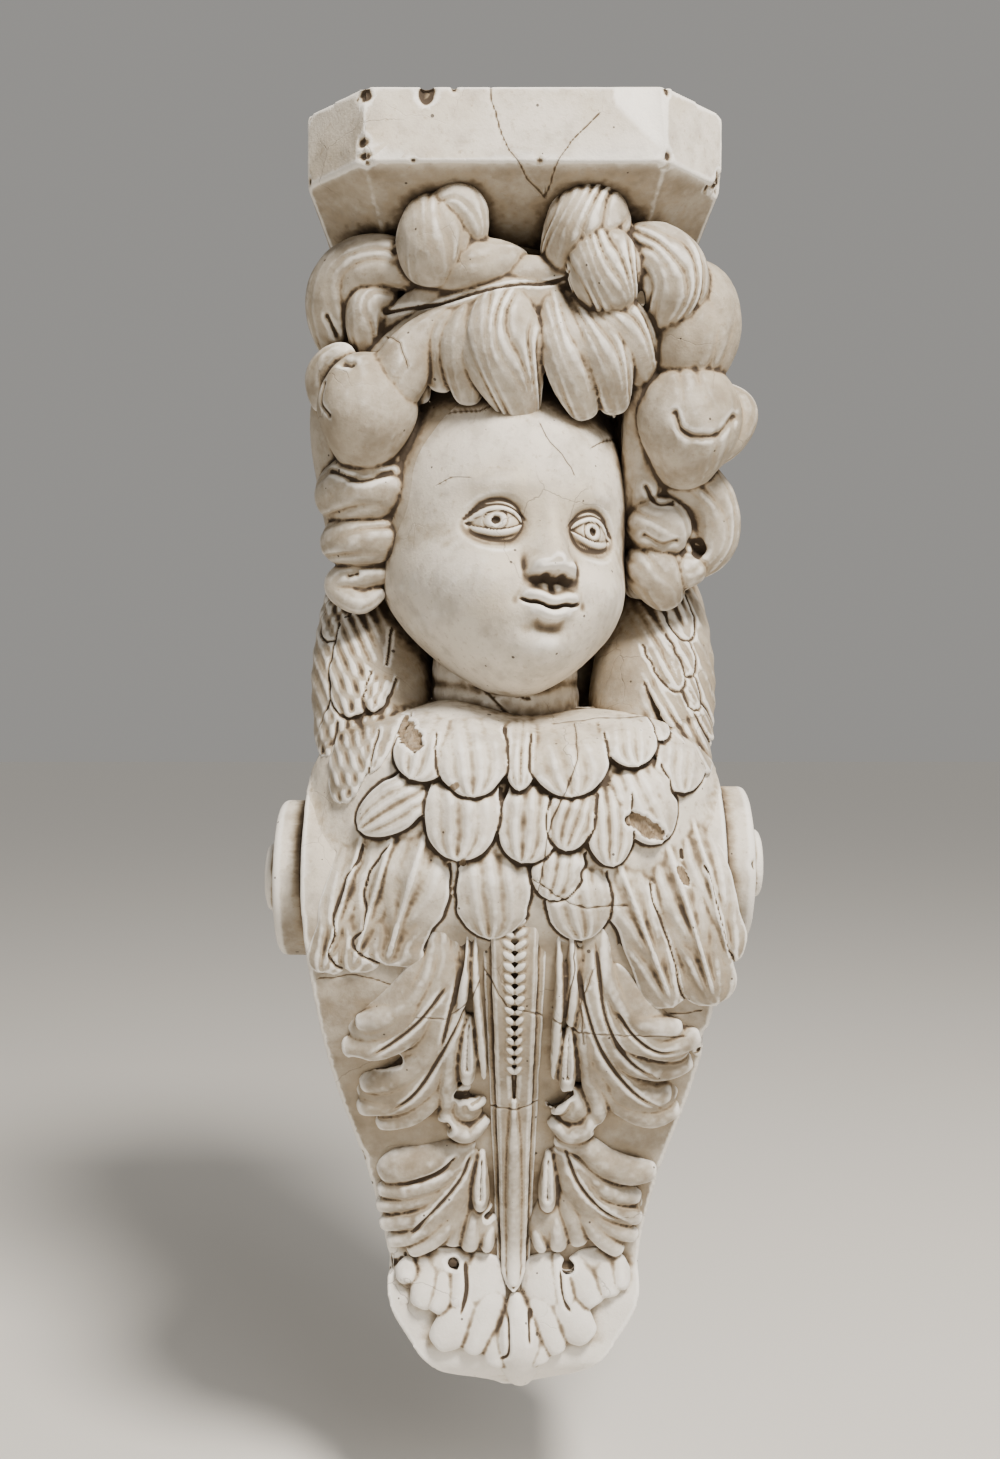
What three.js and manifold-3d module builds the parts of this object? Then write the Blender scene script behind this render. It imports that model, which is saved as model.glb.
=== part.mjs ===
// Cherub wall corbel: a winged child's head on a scrolled console, under a
// chamfered shelf, cast as one piece in fibrous plaster.
// Millimetres, +Z up. The flat back lies on the plane y = 0 and the front faces -Y.
// The origin is on the flat back, on the centre line, half way up.

import * as THREE from "three";
import { mergeVertices } from "three/addons/utils/BufferGeometryUtils.js";
import Module from "manifold-3d";

// Driving dimensions

const corbelHeight = 690;

const shelfHalfWidth = 106;
const shelfProjection = 185;
const shelfBand = 36;
const shelfChamferWide = 32;
const shelfChamferDeep = 35;
const soffitDrop = 32;
const soffitInset = 13;
const soffitSetBack = 70;

const slabHalfWidth = 97;
const slabDepth = 46;

const headHeight = 185;
const headBelowTop = 208;
const headProjection = 88;
const headLeft = 7;
const headTurn = 18;
const headLift = 6;
const headLean = 4.5;
const neckRadius = 42;

const breastHalfWidth = 112;
const breastProjection = 170;
const breastSwell = 70;
const breastRise = 60;
const breastFall = 95;
const breastBelowTop = 360;
const featherLift = 3.4;
const wingRise = 152;

const plateHalfWidth = 110;
const plateTopBelowTop = 333;
const volutePlateRadius = 65;
const voluteProjection = 85;
const rollRadius = 43;
const rollReach = 128;
const rollAboveVolute = 6;
const rollStagger = 4;
const rollEdge = 3;
const eyeRadius = 19;
const eyeReach = 136;
const eyeEdge = 2;

const waistHalfWidth = 70;
const waistProjection = 78;
const footHeight = 78;
const footProjection = 84;

const stripHalfWidth = 17;
const stripRaise = 7;
const stripFrom = 0.2;
const stripTo = 0.82;
const huskHalfWidth = 4.4;
const leafRaise = 9;
const frondHalfWidth = 11;
const lowerFrondHalfWidth = 9;

// Levels that follow from them

const top = corbelHeight / 2;
const bottom = -corbelHeight / 2;
const bandBottom = top - shelfBand;
const soffitBottom = bandBottom - soffitDrop;
const headLevel = top - headBelowTop;
const breastLevel = top - breastBelowTop;
const plateTop = top - plateTopBelowTop;
const rollLevel = plateTop - volutePlateRadius;
const waistLevel = bottom + footHeight;

const wasm = await Module();
wasm.setup();

// A point from its place across, its distance out from the wall and its height
function place(across, out, up) {
  return new THREE.Vector3(across, -out, up);
}

// A closed geometry as a solid that can be joined and cut
function solid(geometry) {
  geometry.deleteAttribute("normal");
  geometry.deleteAttribute("uv");
  const merged = mergeVertices(geometry, 1e-4);
  const mesh = new wasm.Mesh({
    numProp: 3,
    vertProperties: new Float32Array(merged.attributes.position.array),
    triVerts: new Uint32Array(merged.index.array),
  });
  mesh.merge();
  return new wasm.Manifold(mesh);
}

// 0 on one side of a step and 1 on the other, with an eased slope between
function smooth(from, to, value) {
  const share = THREE.MathUtils.clamp((value - from) / (to - from), 0, 1);
  return share * share * (3 - 2 * share);
}

// Value at a share from 0 to 1 of a smooth curve through evenly spread values
function along(list, share) {
  const at = THREE.MathUtils.clamp(share, 0, 1) * (list.length - 1);
  const i = Math.min(Math.floor(at), list.length - 2);
  const f = at - i;
  const [before, start, end, after] = [i - 1, i, i + 1, i + 2].map(
    (k) => list[THREE.MathUtils.clamp(k, 0, list.length - 1)],
  );
  const bend = 2 * before - 5 * start + 4 * end - after;
  const twist = 3 * start - before - 3 * end + after;
  return 0.5 * (2 * start + (end - before) * f + bend * f * f + twist * f ** 3);
}

// A tongue of plaster swept along a curve, closed and rounded at both ends.
// halfWidths and heights are spread along it; flutes ring it; ridge lifts a shaft on its crown.
function tongue(points, halfWidths, options = {}) {
  const {
    heights = halfWidths, flutes = 0, flute = 0.09, ridge = 0, outward = place(0, 1, 0),
    around = 12, rings = 8, blunt = 0.55,
  } = options;
  const curve = new THREE.CatmullRomCurve3(points);
  const geometry = new THREE.SphereGeometry(1, around, rings);
  const position = geometry.attributes.position;
  for (let i = 0; i < position.count; i += 1) {
    const polar = Math.acos(THREE.MathUtils.clamp(position.getY(i), -1, 1));
    const share = (1 - Math.cos(polar)) / 2;
    const angle = Math.atan2(position.getZ(i), position.getX(i));
    const pole = Math.sin(polar) < 1e-6;
    const ring = pole ? 0 : Math.sin(polar) ** blunt;
    const centre = curve.getPoint(share);
    const tangent = curve.getTangent(share);
    const crown = outward.clone().addScaledVector(tangent, -outward.dot(tangent)).normalize();
    const side = crown.clone().cross(tangent);
    const wave = 1 + (flutes > 0 ? flute * Math.cos(flutes * angle) : 0);
    const shaft = ridge * Math.max(0, Math.sin(angle)) ** 12;
    const width = along(halfWidths, share) * ring * wave;
    const height = along(heights, share) * ring * wave + shaft * ring;
    centre.addScaledVector(side, width * Math.cos(angle));
    centre.addScaledVector(crown, height * Math.sin(angle));
    position.setXYZ(i, centre.x, centre.y, centre.z);
  }
  return solid(geometry);
}

// A rounded mass with its centre, half-sizes and, for each axis, how full it is
function mass(centre, half, full = [1, 1, 1], around = 24, rings = 16) {
  const geometry = new THREE.SphereGeometry(1, around, rings);
  const position = geometry.attributes.position;
  const pull = (value, power) => Math.sign(value) * Math.abs(value) ** power;
  for (let i = 0; i < position.count; i += 1) {
    position.setXYZ(
      i,
      centre.x + half[0] * pull(position.getX(i), full[0]),
      centre.y - half[1] * pull(position.getZ(i), full[1]),
      centre.z + half[2] * pull(position.getY(i), full[2]),
    );
  }
  return solid(geometry);
}

// The console's profile, seen from the side: how far its front stands out at a height
const voluteReach = voluteProjection + volutePlateRadius;
const consoleFall = [1, 0.98, 0.8, 0.5, 0.3, 0.12, 0];
const footSwell = [0, 0.8, 1, 0.75, -3.5];

function frontAt(up) {
  if (up >= rollLevel) {
    const rise = Math.min(up - rollLevel, volutePlateRadius);
    return voluteProjection + Math.sqrt(volutePlateRadius ** 2 - rise ** 2);
  }
  if (up >= waistLevel) {
    const fall = (rollLevel - up) / (rollLevel - waistLevel);
    return waistProjection + (voluteReach - waistProjection) * along(consoleFall, fall);
  }
  const fall = (waistLevel - up) / footHeight;
  return waistProjection + (footProjection - waistProjection) * along(footSwell, fall);
}

// The console's outline, seen from the front: its half-width at a height
const consoleTaper = [1, 0.86, 0.64, 0.25, 0];
const footRound = [1, 1, 0.86, 0.62, 0.1];

function halfWidthAt(up) {
  if (up >= rollLevel) {
    return plateHalfWidth;
  }
  if (up >= waistLevel) {
    const fall = (rollLevel - up) / (rollLevel - waistLevel);
    return waistHalfWidth + (plateHalfWidth - waistHalfWidth) * along(consoleTaper, fall);
  }
  return waistHalfWidth * along(footRound, (waistLevel - up) / footHeight);
}

// Shelf: a chamfered slab with a splayed soffit that is cast with it

function shelfPlan(inset, setBack, shift) {
  const half = shelfHalfWidth - inset;
  const deep = shelfProjection - setBack;
  const plan = new THREE.Shape();
  plan.moveTo(shift - half, 0);
  plan.lineTo(shift + half, 0);
  plan.lineTo(shift + half, shelfChamferDeep - deep);
  plan.lineTo(shift + half - shelfChamferWide, -deep);
  plan.lineTo(shift - half + shelfChamferWide, -deep);
  plan.lineTo(shift - half, shelfChamferDeep - deep);
  plan.closePath();
  return plan;
}

function shelf() {
  const band = new THREE.ExtrudeGeometry(shelfPlan(0, 0, 0), { depth: shelfBand, bevelEnabled: false });
  band.translate(0, 0, bandBottom);
  const soffit = new THREE.ExtrudeGeometry(shelfPlan(0, 0, 0), { depth: soffitDrop, bevelEnabled: false });
  soffit.translate(0, 0, soffitBottom);
  const position = soffit.attributes.position;
  const keepWide = 1 - soffitInset / shelfHalfWidth;
  const keepDeep = 1 - soffitSetBack / shelfProjection;
  for (let i = 0; i < position.count; i += 1) {
    if (position.getZ(i) < bandBottom - soffitDrop / 2) {
      position.setX(i, position.getX(i) * keepWide);
      position.setY(i, position.getY(i) * keepDeep);
    }
  }
  return solid(band).add(solid(soffit));
}

// Slab behind the head, which ties the shelf to the console
function backSlab() {
  const low = rollLevel;
  const high = bandBottom;
  const slab = new THREE.BoxGeometry(2 * slabHalfWidth, slabDepth, high - low);
  slab.translate(0, -slabDepth / 2, (high + low) / 2);
  return solid(slab);
}

// Head and neck

const headCentre = place(-headLeft, headProjection, headLevel);

// A point of the hair or head from its shares of the head's height, in hundredths
function atHead([across, out, up]) {
  const share = headHeight / 100;
  return headCentre.clone().add(place(across * share, out * share, up * share));
}

function bump(across, up, atAcross, atUp, wide, tall) {
  return Math.exp(-(((across - atAcross) / wide) ** 2) - ((up - atUp) / tall) ** 2);
}

// How far a calm child's features stand out from the egg of the head, in shares of its height
function features(across, up) {
  const side = Math.abs(across);
  const noseRoot = smooth(0.03, -0.17, up);
  const noseBase = smooth(-0.23, -0.19, up);
  const noseWide = 0.03 + 0.022 * noseRoot;
  let out = (0.01 + 0.075 * noseRoot) * noseBase * Math.exp(-((across / noseWide) ** 2));
  out *= smooth(0.08, -0.03, up);
  out += 0.026 * bump(side, up, 0.05, -0.19, 0.024, 0.026);
  out -= 0.03 * bump(side, up, 0.135, -0.06, 0.09, 0.05);
  out += 0.03 * bump(side, up, 0.14, -0.065, 0.06, 0.04);
  out += 0.01 * bump(side, up, 0.13, 0.045, 0.11, 0.03);
  out += 0.046 * bump(side, up, 0.19, -0.22, 0.12, 0.1);
  out += 0.03 * bump(across, up, 0, -0.272, 0.075, 0.02);
  out += 0.032 * bump(across, up, 0, -0.318, 0.06, 0.022);
  out -= 0.02 * bump(across, up, 0, -0.294, 0.085, 0.008);
  out += 0.03 * bump(across, up, 0, -0.405, 0.08, 0.045);
  return out;
}

function head() {
  const geometry = new THREE.SphereGeometry(1, 26, 20);
  const position = geometry.attributes.position;
  for (let i = 0; i < position.count; i += 1) {
    const polar = Math.acos(THREE.MathUtils.clamp(position.getY(i), -1, 1));
    const spread = Math.PI * (polar / Math.PI) ** 1.35;
    const turn = Math.atan2(position.getZ(i), position.getX(i));
    const ring = Math.sin(polar) < 1e-6 ? 0 : Math.sin(spread);
    const across = ring * Math.cos(turn);
    const up = ring * Math.sin(turn);
    const front = Math.cos(spread);
    const cheeks = 0.02 * Math.exp(-(((up + 0.42) / 0.25) ** 2));
    const width = 0.355 + 0.035 * smooth(-0.2, 0.5, up) + cheeks - 0.05 * smooth(-0.6, -1, up);
    const jaw = 0.17 * smooth(-0.15, -1, up);
    const depth = 0.44 + 0.03 * smooth(-0.1, 0.6, up);
    let out = front * depth + jaw;
    if (front > 0) {
      out += features(across * width, 0.5 * up) * smooth(0, 0.35, front);
    }
    position.setXYZ(i, across * width, -out, 0.5 * up);
  }
  const flip = geometry.index.array;
  for (let i = 0; i < flip.length; i += 3) {
    [flip[i], flip[i + 1]] = [flip[i + 1], flip[i]];
  }
  const pose = new THREE.Euler(
    THREE.MathUtils.degToRad(-headLift),
    THREE.MathUtils.degToRad(headLean),
    THREE.MathUtils.degToRad(headTurn),
    "ZYX",
  );
  geometry.scale(headHeight, headHeight, headHeight);
  geometry.applyMatrix4(new THREE.Matrix4().makeRotationFromEuler(pose));
  geometry.translate(headCentre.x, headCentre.y, headCentre.z);
  return solid(geometry);
}

function neck() {
  const path = [atHead([0, -22, -78]), atHead([1, -4, -50]), atHead([1, 4, -10])];
  return tongue(path, [neckRadius * 1.25, neckRadius, neckRadius], { around: 16, rings: 6 });
}

// Hair: a cap with a rolled band, a fringe of fluted locks and thick curls down both sides.
// Each lock is its path in hundredths of the head's height and its thickness along it.

const curls = [
  { path: [[-17.5, 34, 88.5], [-17.5, 38, 76], [-18.5, 34, 65]], thick: [10, 11.5, 10] },
  { path: [[-20, 38, 83], [-11.5, 42, 84.5], [-8, 42, 79.5], [-6.5, 39, 73]], thick: [6.5, 6.5, 5.2, 3.5] },
  { path: [[-21, 36, 71], [-10, 38, 70], [0, 37, 71.5], [8, 34, 75.5]], thick: [9, 8, 6, 4.5] },
  { path: [[29, 34, 89.5], [23.5, 38, 79.5], [14.5, 33, 69.5]], thick: [9.5, 12, 9] },
  { path: [[25.5, 34, 80.5], [28, 44, 67], [32.5, 39, 56]], thick: [8.5, 10.2, 7.5] },
  { path: [[35, 35, 79.5], [44, 39, 71.5], [47, 40, 62], [43, 34, 52.5]], thick: [6.5, 9.5, 9.8, 6] },
  { path: [[52, 27, 72.5], [54, 30, 62], [52.5, 29, 49], [48, 22, 37]], thick: [9, 12.5, 13.3, 9] },
  { path: [[52, 23, 46], [52.5, 28, 29], [51.5, 19, 12.5]], thick: [11.5, 15, 10] },
  { path: [[44, 29, 29], [50, 32, 21.5], [61, 26, 24.5], [68.5, 17, 36], [67, 9, 50]], thick: [4, 6.5, 7, 7, 6] },
  { path: [[40, 12, 17], [51, 16, 16], [60.5, 13, 8], [62, 10, -3], [55, 9, -12]], thick: [8, 9, 8, 7.5, 6] },
  { path: [[40, 10, -3], [45, 12, -11], [50, 7, -21]], thick: [9, 10, 6.5] },
  { path: [[-21, 30, 68], [-32, 29, 73], [-43, 24, 71], [-48, 18, 63], [-48, 10, 50]], thick: [7, 8.5, 9, 9, 7] },
  { path: [[-29, 26, 64.5], [-36, 27, 63.5], [-38, 24, 57], [-37, 17, 44]], thick: [5, 6, 6.2, 5] },
  { path: [[-37, 25, 47], [-37.5, 28, 32.5], [-39.5, 19, 17.5]], thick: [11.5, 14.2, 10] },
  { path: [[-51, 17, 34], [-50.5, 21, 43], [-45, 26, 47.5], [-40.5, 27, 43]], thick: [5, 5.5, 4.4, 2.6] },
  { path: [[-36, 28, 30], [-28.5, 32, 41], [-22.5, 34, 50], [-12, 36, 58.5]], thick: [10, 8.5, 6.5, 4.5] },
  { path: [[-25, 15, 12], [-38, 18, 12.5], [-52, 10, 9]], thick: [9, 10.8, 9.5] },
  { path: [[-26, 14, -0.5], [-40, 15, -2], [-51, 8, -3]], thick: [7.5, 8.2, 7.5] },
  { path: [[-31, 11, -12], [-40, 12, -14], [-48, 7, -17]], thick: [6, 7, 6] },
];
const fringe = [
  { path: [[-14, 36, 56], [-21, 36, 53], [-24, 33.5, 47], [-21.5, 30, 39.5]], thick: [4, 5, 5, 3.2] },
  { path: [[-4, 38, 61], [-11, 38.5, 50], [-11, 35.5, 38]], thick: [6, 8.5, 5] },
  { path: [[2.5, 37, 64], [0.5, 42.5, 48], [7, 37.5, 29]], thick: [8.5, 11.5, 7.5] },
  { path: [[13, 38, 64], [18, 43, 46], [24, 38, 30.5]], thick: [4.5, 7.4, 5.8] },
  { path: [[17.5, 38, 63], [27, 43, 47.5], [32.5, 37, 32.5]], thick: [4.5, 7.6, 5.8] },
  { path: [[19, 38, 64], [32.5, 41.5, 54], [40.5, 35, 41]], thick: [4.5, 8, 6] },
];
const band = [
  { path: [[-34, 25, 57.5], [-19, 32, 62.8], [-4, 35, 66], [9, 36.5, 68], [24, 36, 68]], thick: [4, 4.6, 5.2, 5.4, 4.5] },
  { path: [[-33, 26, 50], [-19, 32, 53.5], [-4, 35, 57.5], [15, 36.5, 60]], thick: [5, 5.6, 6, 5.5] },
];

function lock({ path, thick }, flutes, flatter, around, rings) {
  const points = path.map(atHead);
  const widths = thick.map((value) => (value * headHeight) / 100);
  return tongue(points, widths, {
    heights: widths.map((value) => value * flatter),
    flutes,
    flute: 0.12,
    around,
    rings,
  });
}

// Plain hair under the curls: what fills the crown up to the soffit and the two sides
const underHair = [
  { path: [[-34, 8, 66], [-42, 8, 38], [-42, 4, 10], [-40, -2, -18]], thick: [12, 14, 12, 10] },
  { path: [[36, 10, 66], [47, 10, 38], [44, 4, 10], [42, -2, -18]], thick: [12, 14, 13, 10] },
  { path: [[-36, 4, 62], [0, 10, 68], [36, 4, 62]], thick: [14, 18, 14] },
  { path: [[-24, 31, 55], [-29, 26, 40], [-32, 19, 20], [-33, 12, 0]], thick: [7, 7, 7, 6] },
  { path: [[38, 31, 58], [41, 26, 38], [41, 18, 15], [40, 9, -8]], thick: [6, 7, 7, 6] },
  { path: [[-28, 24, 55], [0, 30, 60], [34, 26, 58]], thick: [9, 12, 9] },
];

function hair() {
  const share = headHeight / 100;
  const cap = mass(atHead([0, -4, 10]), [41 * share, 40 * share, 46 * share], [1, 1, 1], 14, 9);
  const locks = [
    ...curls.map((each) => lock(each, 0, 1, 7, 5)),
    ...fringe.map((each) => lock(each, 4, 0.72, 8, 4)),
    ...band.map((each) => lock(each, 0, 0.8, 6, 4)),
    ...underHair.map((each) => lock(each, 0, 1, 6, 4)),
  ];
  return locks.reduce((whole, each) => whole.add(each), cap);
}

// Breast and wings

// How far the feathered breast stands out at a place
function breastAt(across, up) {
  const rise = up > breastLevel ? ((up - breastLevel) / breastRise) ** 3.3 : ((breastLevel - up) / breastFall) ** 2;
  const room = 1 - (Math.abs(across) / breastHalfWidth) ** 2.6 - rise;
  const out = breastProjection - breastSwell * (1 - Math.sqrt(Math.max(room, 0)));
  return Math.max(out, Math.abs(across) < plateHalfWidth ? frontAt(up) : 0);
}

function onBreast(across, up, lift) {
  return place(across, breastAt(across, up) + lift, up);
}

// A feather lying on the breast, from its root down to its rounded tip.
// lean is the way it points, in degrees from straight down, to the right when positive;
// layer is how far it lies over the breast, in thicknesses of a feather.
function feather([tipAcross, tipUp, lean, long, wide], layer, shaft) {
  const tip = [(tipAcross * breastHalfWidth) / 100, breastLevel + (tipUp * breastFall) / 100];
  const length = (long * breastFall) / 100;
  const halfWidth = (wide * breastHalfWidth) / 100;
  const angle = THREE.MathUtils.degToRad(lean);
  const points = [1, 0.5, 0].map((back) => {
    const across = tip[0] - Math.sin(angle) * length * back;
    const up = tip[1] + Math.cos(angle) * length * back;
    return onBreast(across, up, (layer - back * 1.5) * featherLift);
  });
  return tongue(points, [0.5, 0.85, 1, 1, 0.9].map((share) => share * halfWidth), {
    heights: [0.6, 1, 1, 1, 1].map((share) => share * featherLift),
    ridge: shaft ? 0.6 * featherLift : 0,
    blunt: 0.5,
    around: shaft ? 8 : 6,
    rings: shaft ? 5 : 4,
  });
}

// Rows from the collar down, in hundredths: each tip's place across as a share of the breast's
// half-width and up as a share of its fall, its lean, then its length and half-width as such shares
const collarRow = [
  [69, 26, 15, 32, 8], [55, 13, 11, 42, 12], [2, 0, -3, 48, 8],
  [-47, 6, -25, 44, 14], [25, -3, 2, 51, 17], [-18, -3, 4, 51, 15],
];
const middleRow = [
  [78, -2, 3, 46, 13], [-71, -21, -56, 53, 12], [66, -28, 21, 57, 14],
  [3, -38, -13, 57, 14], [-26, -37, -6, 59, 17], [44, -40, 5, 55, 11],
  [22, -32, -9, 46, 11],
];
const lowRow = [
  [30, -81, 5, 53, 15], [-12, -80, -5, 61, 17], [15, -58, -14, 42, 12],
];
const longFeathers = [
  [-88, -100, -16, 97, 9], [-77, -98, -17, 99, 12], [-61, -96, -17, 93, 15],
  [97, -95, 14, 97, 10], [73, -118, 21, 103, 12], [93, -117, 17, 109, 12],
];

// Rows of scale feathers on a wing: where along its spine, how many, and, as shares of the wing's
// rise, their half-width and length. The spine runs across as a share of the plate's half-width,
// out of the breast's projection and up of the wing's rise.
const wingScales = [[0.42, 3, 0.1, 0.26], [0.66, 3, 0.085, 0.22], [0.9, 2, 0.08, 0.18]];
const wingSpine = [[0.65, 0.54, -0.03], [0.7, 0.47, 0.39], [0.745, 0.32, 0.73], [0.76, 0.235, 0.97]];

function wing(side) {
  const spine = wingSpine.map(([across, out, up]) => place(
    side * across * plateHalfWidth,
    out * breastProjection,
    breastLevel + up * wingRise,
  ));
  let whole = tongue(spine, [0.25, 0.24, 0.2, 0.16].map((share) => share * wingRise), {
    heights: [0.29, 0.25, 0.2, 0.15].map((share) => share * wingRise),
    outward: place(side * 0.25, 1, 0).normalize(),
    around: 12,
    rings: 7,
  });
  const curve = new THREE.CatmullRomCurve3(spine);
  for (const [share, count, wide, long] of wingScales) {
    const middle = curve.getPoint(share);
    const halfWidth = wide * wingRise;
    const length = long * wingRise;
    for (let i = 0; i < count; i += 1) {
      const fan = i - (count - 1) / 2;
      const across = side * (Math.abs(middle.x) + fan * halfWidth * 1.5);
      const fallBack = 0.13 * share + 0.04 * Math.abs(fan) + 0.08 * Math.max(fan, 0);
      const out = -middle.y + (0.29 - fallBack) * wingRise;
      const tip = place(across + side * 0.05 * wingRise, out + 0.02 * wingRise, middle.z - length);
      const root = place(across - side * 0.02 * wingRise, out - 0.06 * wingRise, middle.z);
      const belly = tip.clone().lerp(root, 0.5).add(place(0, 0.026 * wingRise, 0));
      whole = whole.add(tongue([root, belly, tip], [0.6, 0.95, 1].map((part) => part * halfWidth), {
        heights: [1.2, 1.5, 1].map((part) => part * featherLift),
        outward: place(side * 0.6, 1, 0).normalize(),
        around: 6,
        rings: 4,
      }));
    }
  }
  return whole;
}

function breast() {
  const geometry = new THREE.SphereGeometry(1, 18, 11);
  const position = geometry.attributes.position;
  for (let i = 0; i < position.count; i += 1) {
    const across = position.getX(i);
    const up = position.getY(i);
    const x = breastHalfWidth * Math.sign(across) * Math.abs(across) ** (1 / 1.3);
    const z = up > 0 ? breastRise * up ** (1 / 1.65) : breastFall * up;
    position.setXYZ(i, x, breastSwell * (1 - position.getZ(i)) - breastProjection, breastLevel + z);
  }
  const rows = [longFeathers, lowRow, middleRow, collarRow];
  const layers = [0.9, 0.3, 0.9, 1.5];
  return rows.reduce((whole, row, level) => row.reduce(
    (sofar, each) => sofar.add(feather(each, layers[level], level === 0)),
    whole,
  ), solid(geometry));
}

// Console: a scrolled plate that tapers to a rounded foot, with a roll at each side

function consoleBody() {
  const steps = 24;
  const front = new THREE.Shape();
  const side = new THREE.Shape();
  for (let i = 0; i <= steps; i += 1) {
    const up = plateTop + (bottom - plateTop) * (i / steps);
    const half = halfWidthAt(up);
    if (i === 0) {
      front.moveTo(half, up);
      side.moveTo(frontAt(up), up);
    } else {
      front.lineTo(half, up);
      side.lineTo(frontAt(up), up);
    }
  }
  side.lineTo(0, bottom);
  side.lineTo(0, plateTop);
  side.closePath();
  for (let i = steps; i >= 0; i -= 1) {
    const up = plateTop + (bottom - plateTop) * (i / steps);
    front.lineTo(-halfWidthAt(up), up);
  }
  front.closePath();
  const depth = 1.2 * voluteReach;
  const slice = new THREE.ExtrudeGeometry(front, { depth, bevelEnabled: false });
  slice.rotateX(Math.PI / 2);
  const profile = new THREE.ExtrudeGeometry(side, { depth: 2.4 * plateHalfWidth, bevelEnabled: false });
  profile.rotateX(Math.PI / 2);
  profile.rotateZ(-Math.PI / 2);
  profile.translate(1.2 * plateHalfWidth, 0, 0);
  return solid(slice).intersect(solid(profile));
}

function roll(side) {
  const outline = [
    [0, 0], [rollRadius, 0], [rollRadius, rollReach - rollEdge], [rollRadius - rollEdge, rollReach],
    [eyeRadius, rollReach], [eyeRadius, eyeReach - eyeEdge], [eyeRadius - eyeEdge, eyeReach], [0, eyeReach],
  ];
  const geometry = new THREE.LatheGeometry(outline.map(([x, y]) => new THREE.Vector2(x, y)), 20);
  geometry.rotateZ((-side * Math.PI) / 2);
  geometry.translate(0, -voluteProjection, rollLevel + rollAboveVolute + side * rollStagger);
  return solid(geometry);
}

// A place on the console's front: across as a share of its half-width, down as a share of its height
function onFront(across, down, lift) {
  const up = plateTop + (bottom - plateTop) * down;
  return place(across * halfWidthAt(up), frontAt(up) + lift, up);
}

// Middle strip: a tapered stem with a chain of husks down a sunk channel, then a rib to its tip
function stripSlat(halfWidth, from, to, raise) {
  const steps = 12;
  const outline = new THREE.Shape();
  const row = (i) => from + (to - from) * (i / steps);
  const half = (i) => halfWidth * (1 - 0.5 * (row(i) - stripFrom) / (stripTo - stripFrom));
  for (let i = 0; i <= steps; i += 1) {
    const at = onFront(0, row(i), 0);
    outline[i === 0 ? "moveTo" : "lineTo"](half(i), at.z);
  }
  outline.lineTo(0, onFront(0, to, 0).z - half(steps));
  for (let i = steps; i >= 0; i -= 1) {
    outline.lineTo(-half(i), onFront(0, row(i), 0).z);
  }
  outline.closePath();
  const geometry = new THREE.ExtrudeGeometry(outline, { depth: 1, bevelEnabled: false });
  geometry.rotateX(Math.PI / 2);
  const position = geometry.attributes.position;
  for (let i = 0; i < position.count; i += 1) {
    const lift = position.getY(i) < -0.5 ? raise : -2 * stripRaise;
    position.setY(i, -frontAt(position.getZ(i)) - lift);
  }
  return solid(geometry);
}

function strip() {
  let whole = stripSlat(stripHalfWidth, stripFrom, stripTo, stripRaise * 0.6);
  whole = whole.add(stripSlat(stripHalfWidth * 0.62, stripFrom, stripTo, stripRaise));
  const husks = 8;
  for (let i = 0; i < husks; i += 1) {
    const down = 0.235 + (0.27 * i) / husks;
    const husk = [down + 0.028, down + 0.014, down].map((at) => onFront(0.02, at, stripRaise));
    const size = huskHalfWidth * (1 - 0.045 * i);
    whole = whole.add(tongue(husk, [size * 0.6, size, size], { around: 6, rings: 4 }));
  }
  return whole;
}

// An acanthus leaf on one side of the stem. Its fronds spring side by side from the stalk,
// run down beside the stem and sweep out to the rim.
// stalk and rim are places on the front, as shares of its half-width and height.
function leaf(side, stalk, rim, fronds, halfWidth) {
  const toCurve = (points) => new THREE.SplineCurve(points.map(([x, y]) => new THREE.Vector2(x, y)));
  const stalkLine = toCurve(stalk);
  const rimLine = toCurve(rim);
  const mix = (root, tip, over, down) => new THREE.Vector2(
    root.x + (tip.x - root.x) * over,
    root.y + (tip.y - root.y) * down,
  );
  const tongues = [];
  for (let i = 0; i < fronds; i += 1) {
    const share = i / (fronds - 1);
    const root = stalkLine.getPoint(share);
    const tip = rimLine.getPoint(share);
    const route = [root, mix(root, tip, 0.08, 0.45), mix(root, tip, 0.42, 0.86), tip];
    const points = route.map((at, k) => onFront(side * at.x, at.y, leafRaise * [0, 0.1, 0.3, 0.25][k]));
    tongues.push(tongue(points, [0.6, 0.9, 1, 0.95].map((part) => part * halfWidth), {
      heights: [0.7, 0.9, 1, 1].map((part) => part * leafRaise),
      blunt: 0.45,
      around: 6,
      rings: 5,
    }));
  }
  return tongues.reduce((whole, each) => whole.add(each));
}

function leafwork() {
  const upperStalk = [[0.44, 0.235], [0.34, 0.24], [0.22, 0.3]];
  const upperRim = [[0.86, 0.37], [0.94, 0.43], [0.86, 0.505], [0.6, 0.545], [0.3, 0.54]];
  const lowerStalk = [[0.34, 0.53], [0.26, 0.54], [0.2, 0.58]];
  const lowerRim = [[0.9, 0.595], [0.98, 0.66], [0.95, 0.735], [0.58, 0.765], [0.24, 0.755]];
  const footStalk = [[0.5, 0.73], [0.3, 0.74], [0, 0.8]];
  const footRim = [[0.72, 0.84], [0.66, 0.9], [0.36, 0.925], [0, 0.975]];
  const sides = [-1, 1].map((side) => leaf(side, upperStalk, upperRim, 5, frondHalfWidth)
    .add(leaf(side, lowerStalk, lowerRim, 5, lowerFrondHalfWidth))
    .add(leaf(side, footStalk, footRim, 4, frondHalfWidth)));
  return sides[0].add(sides[1]);
}

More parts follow.
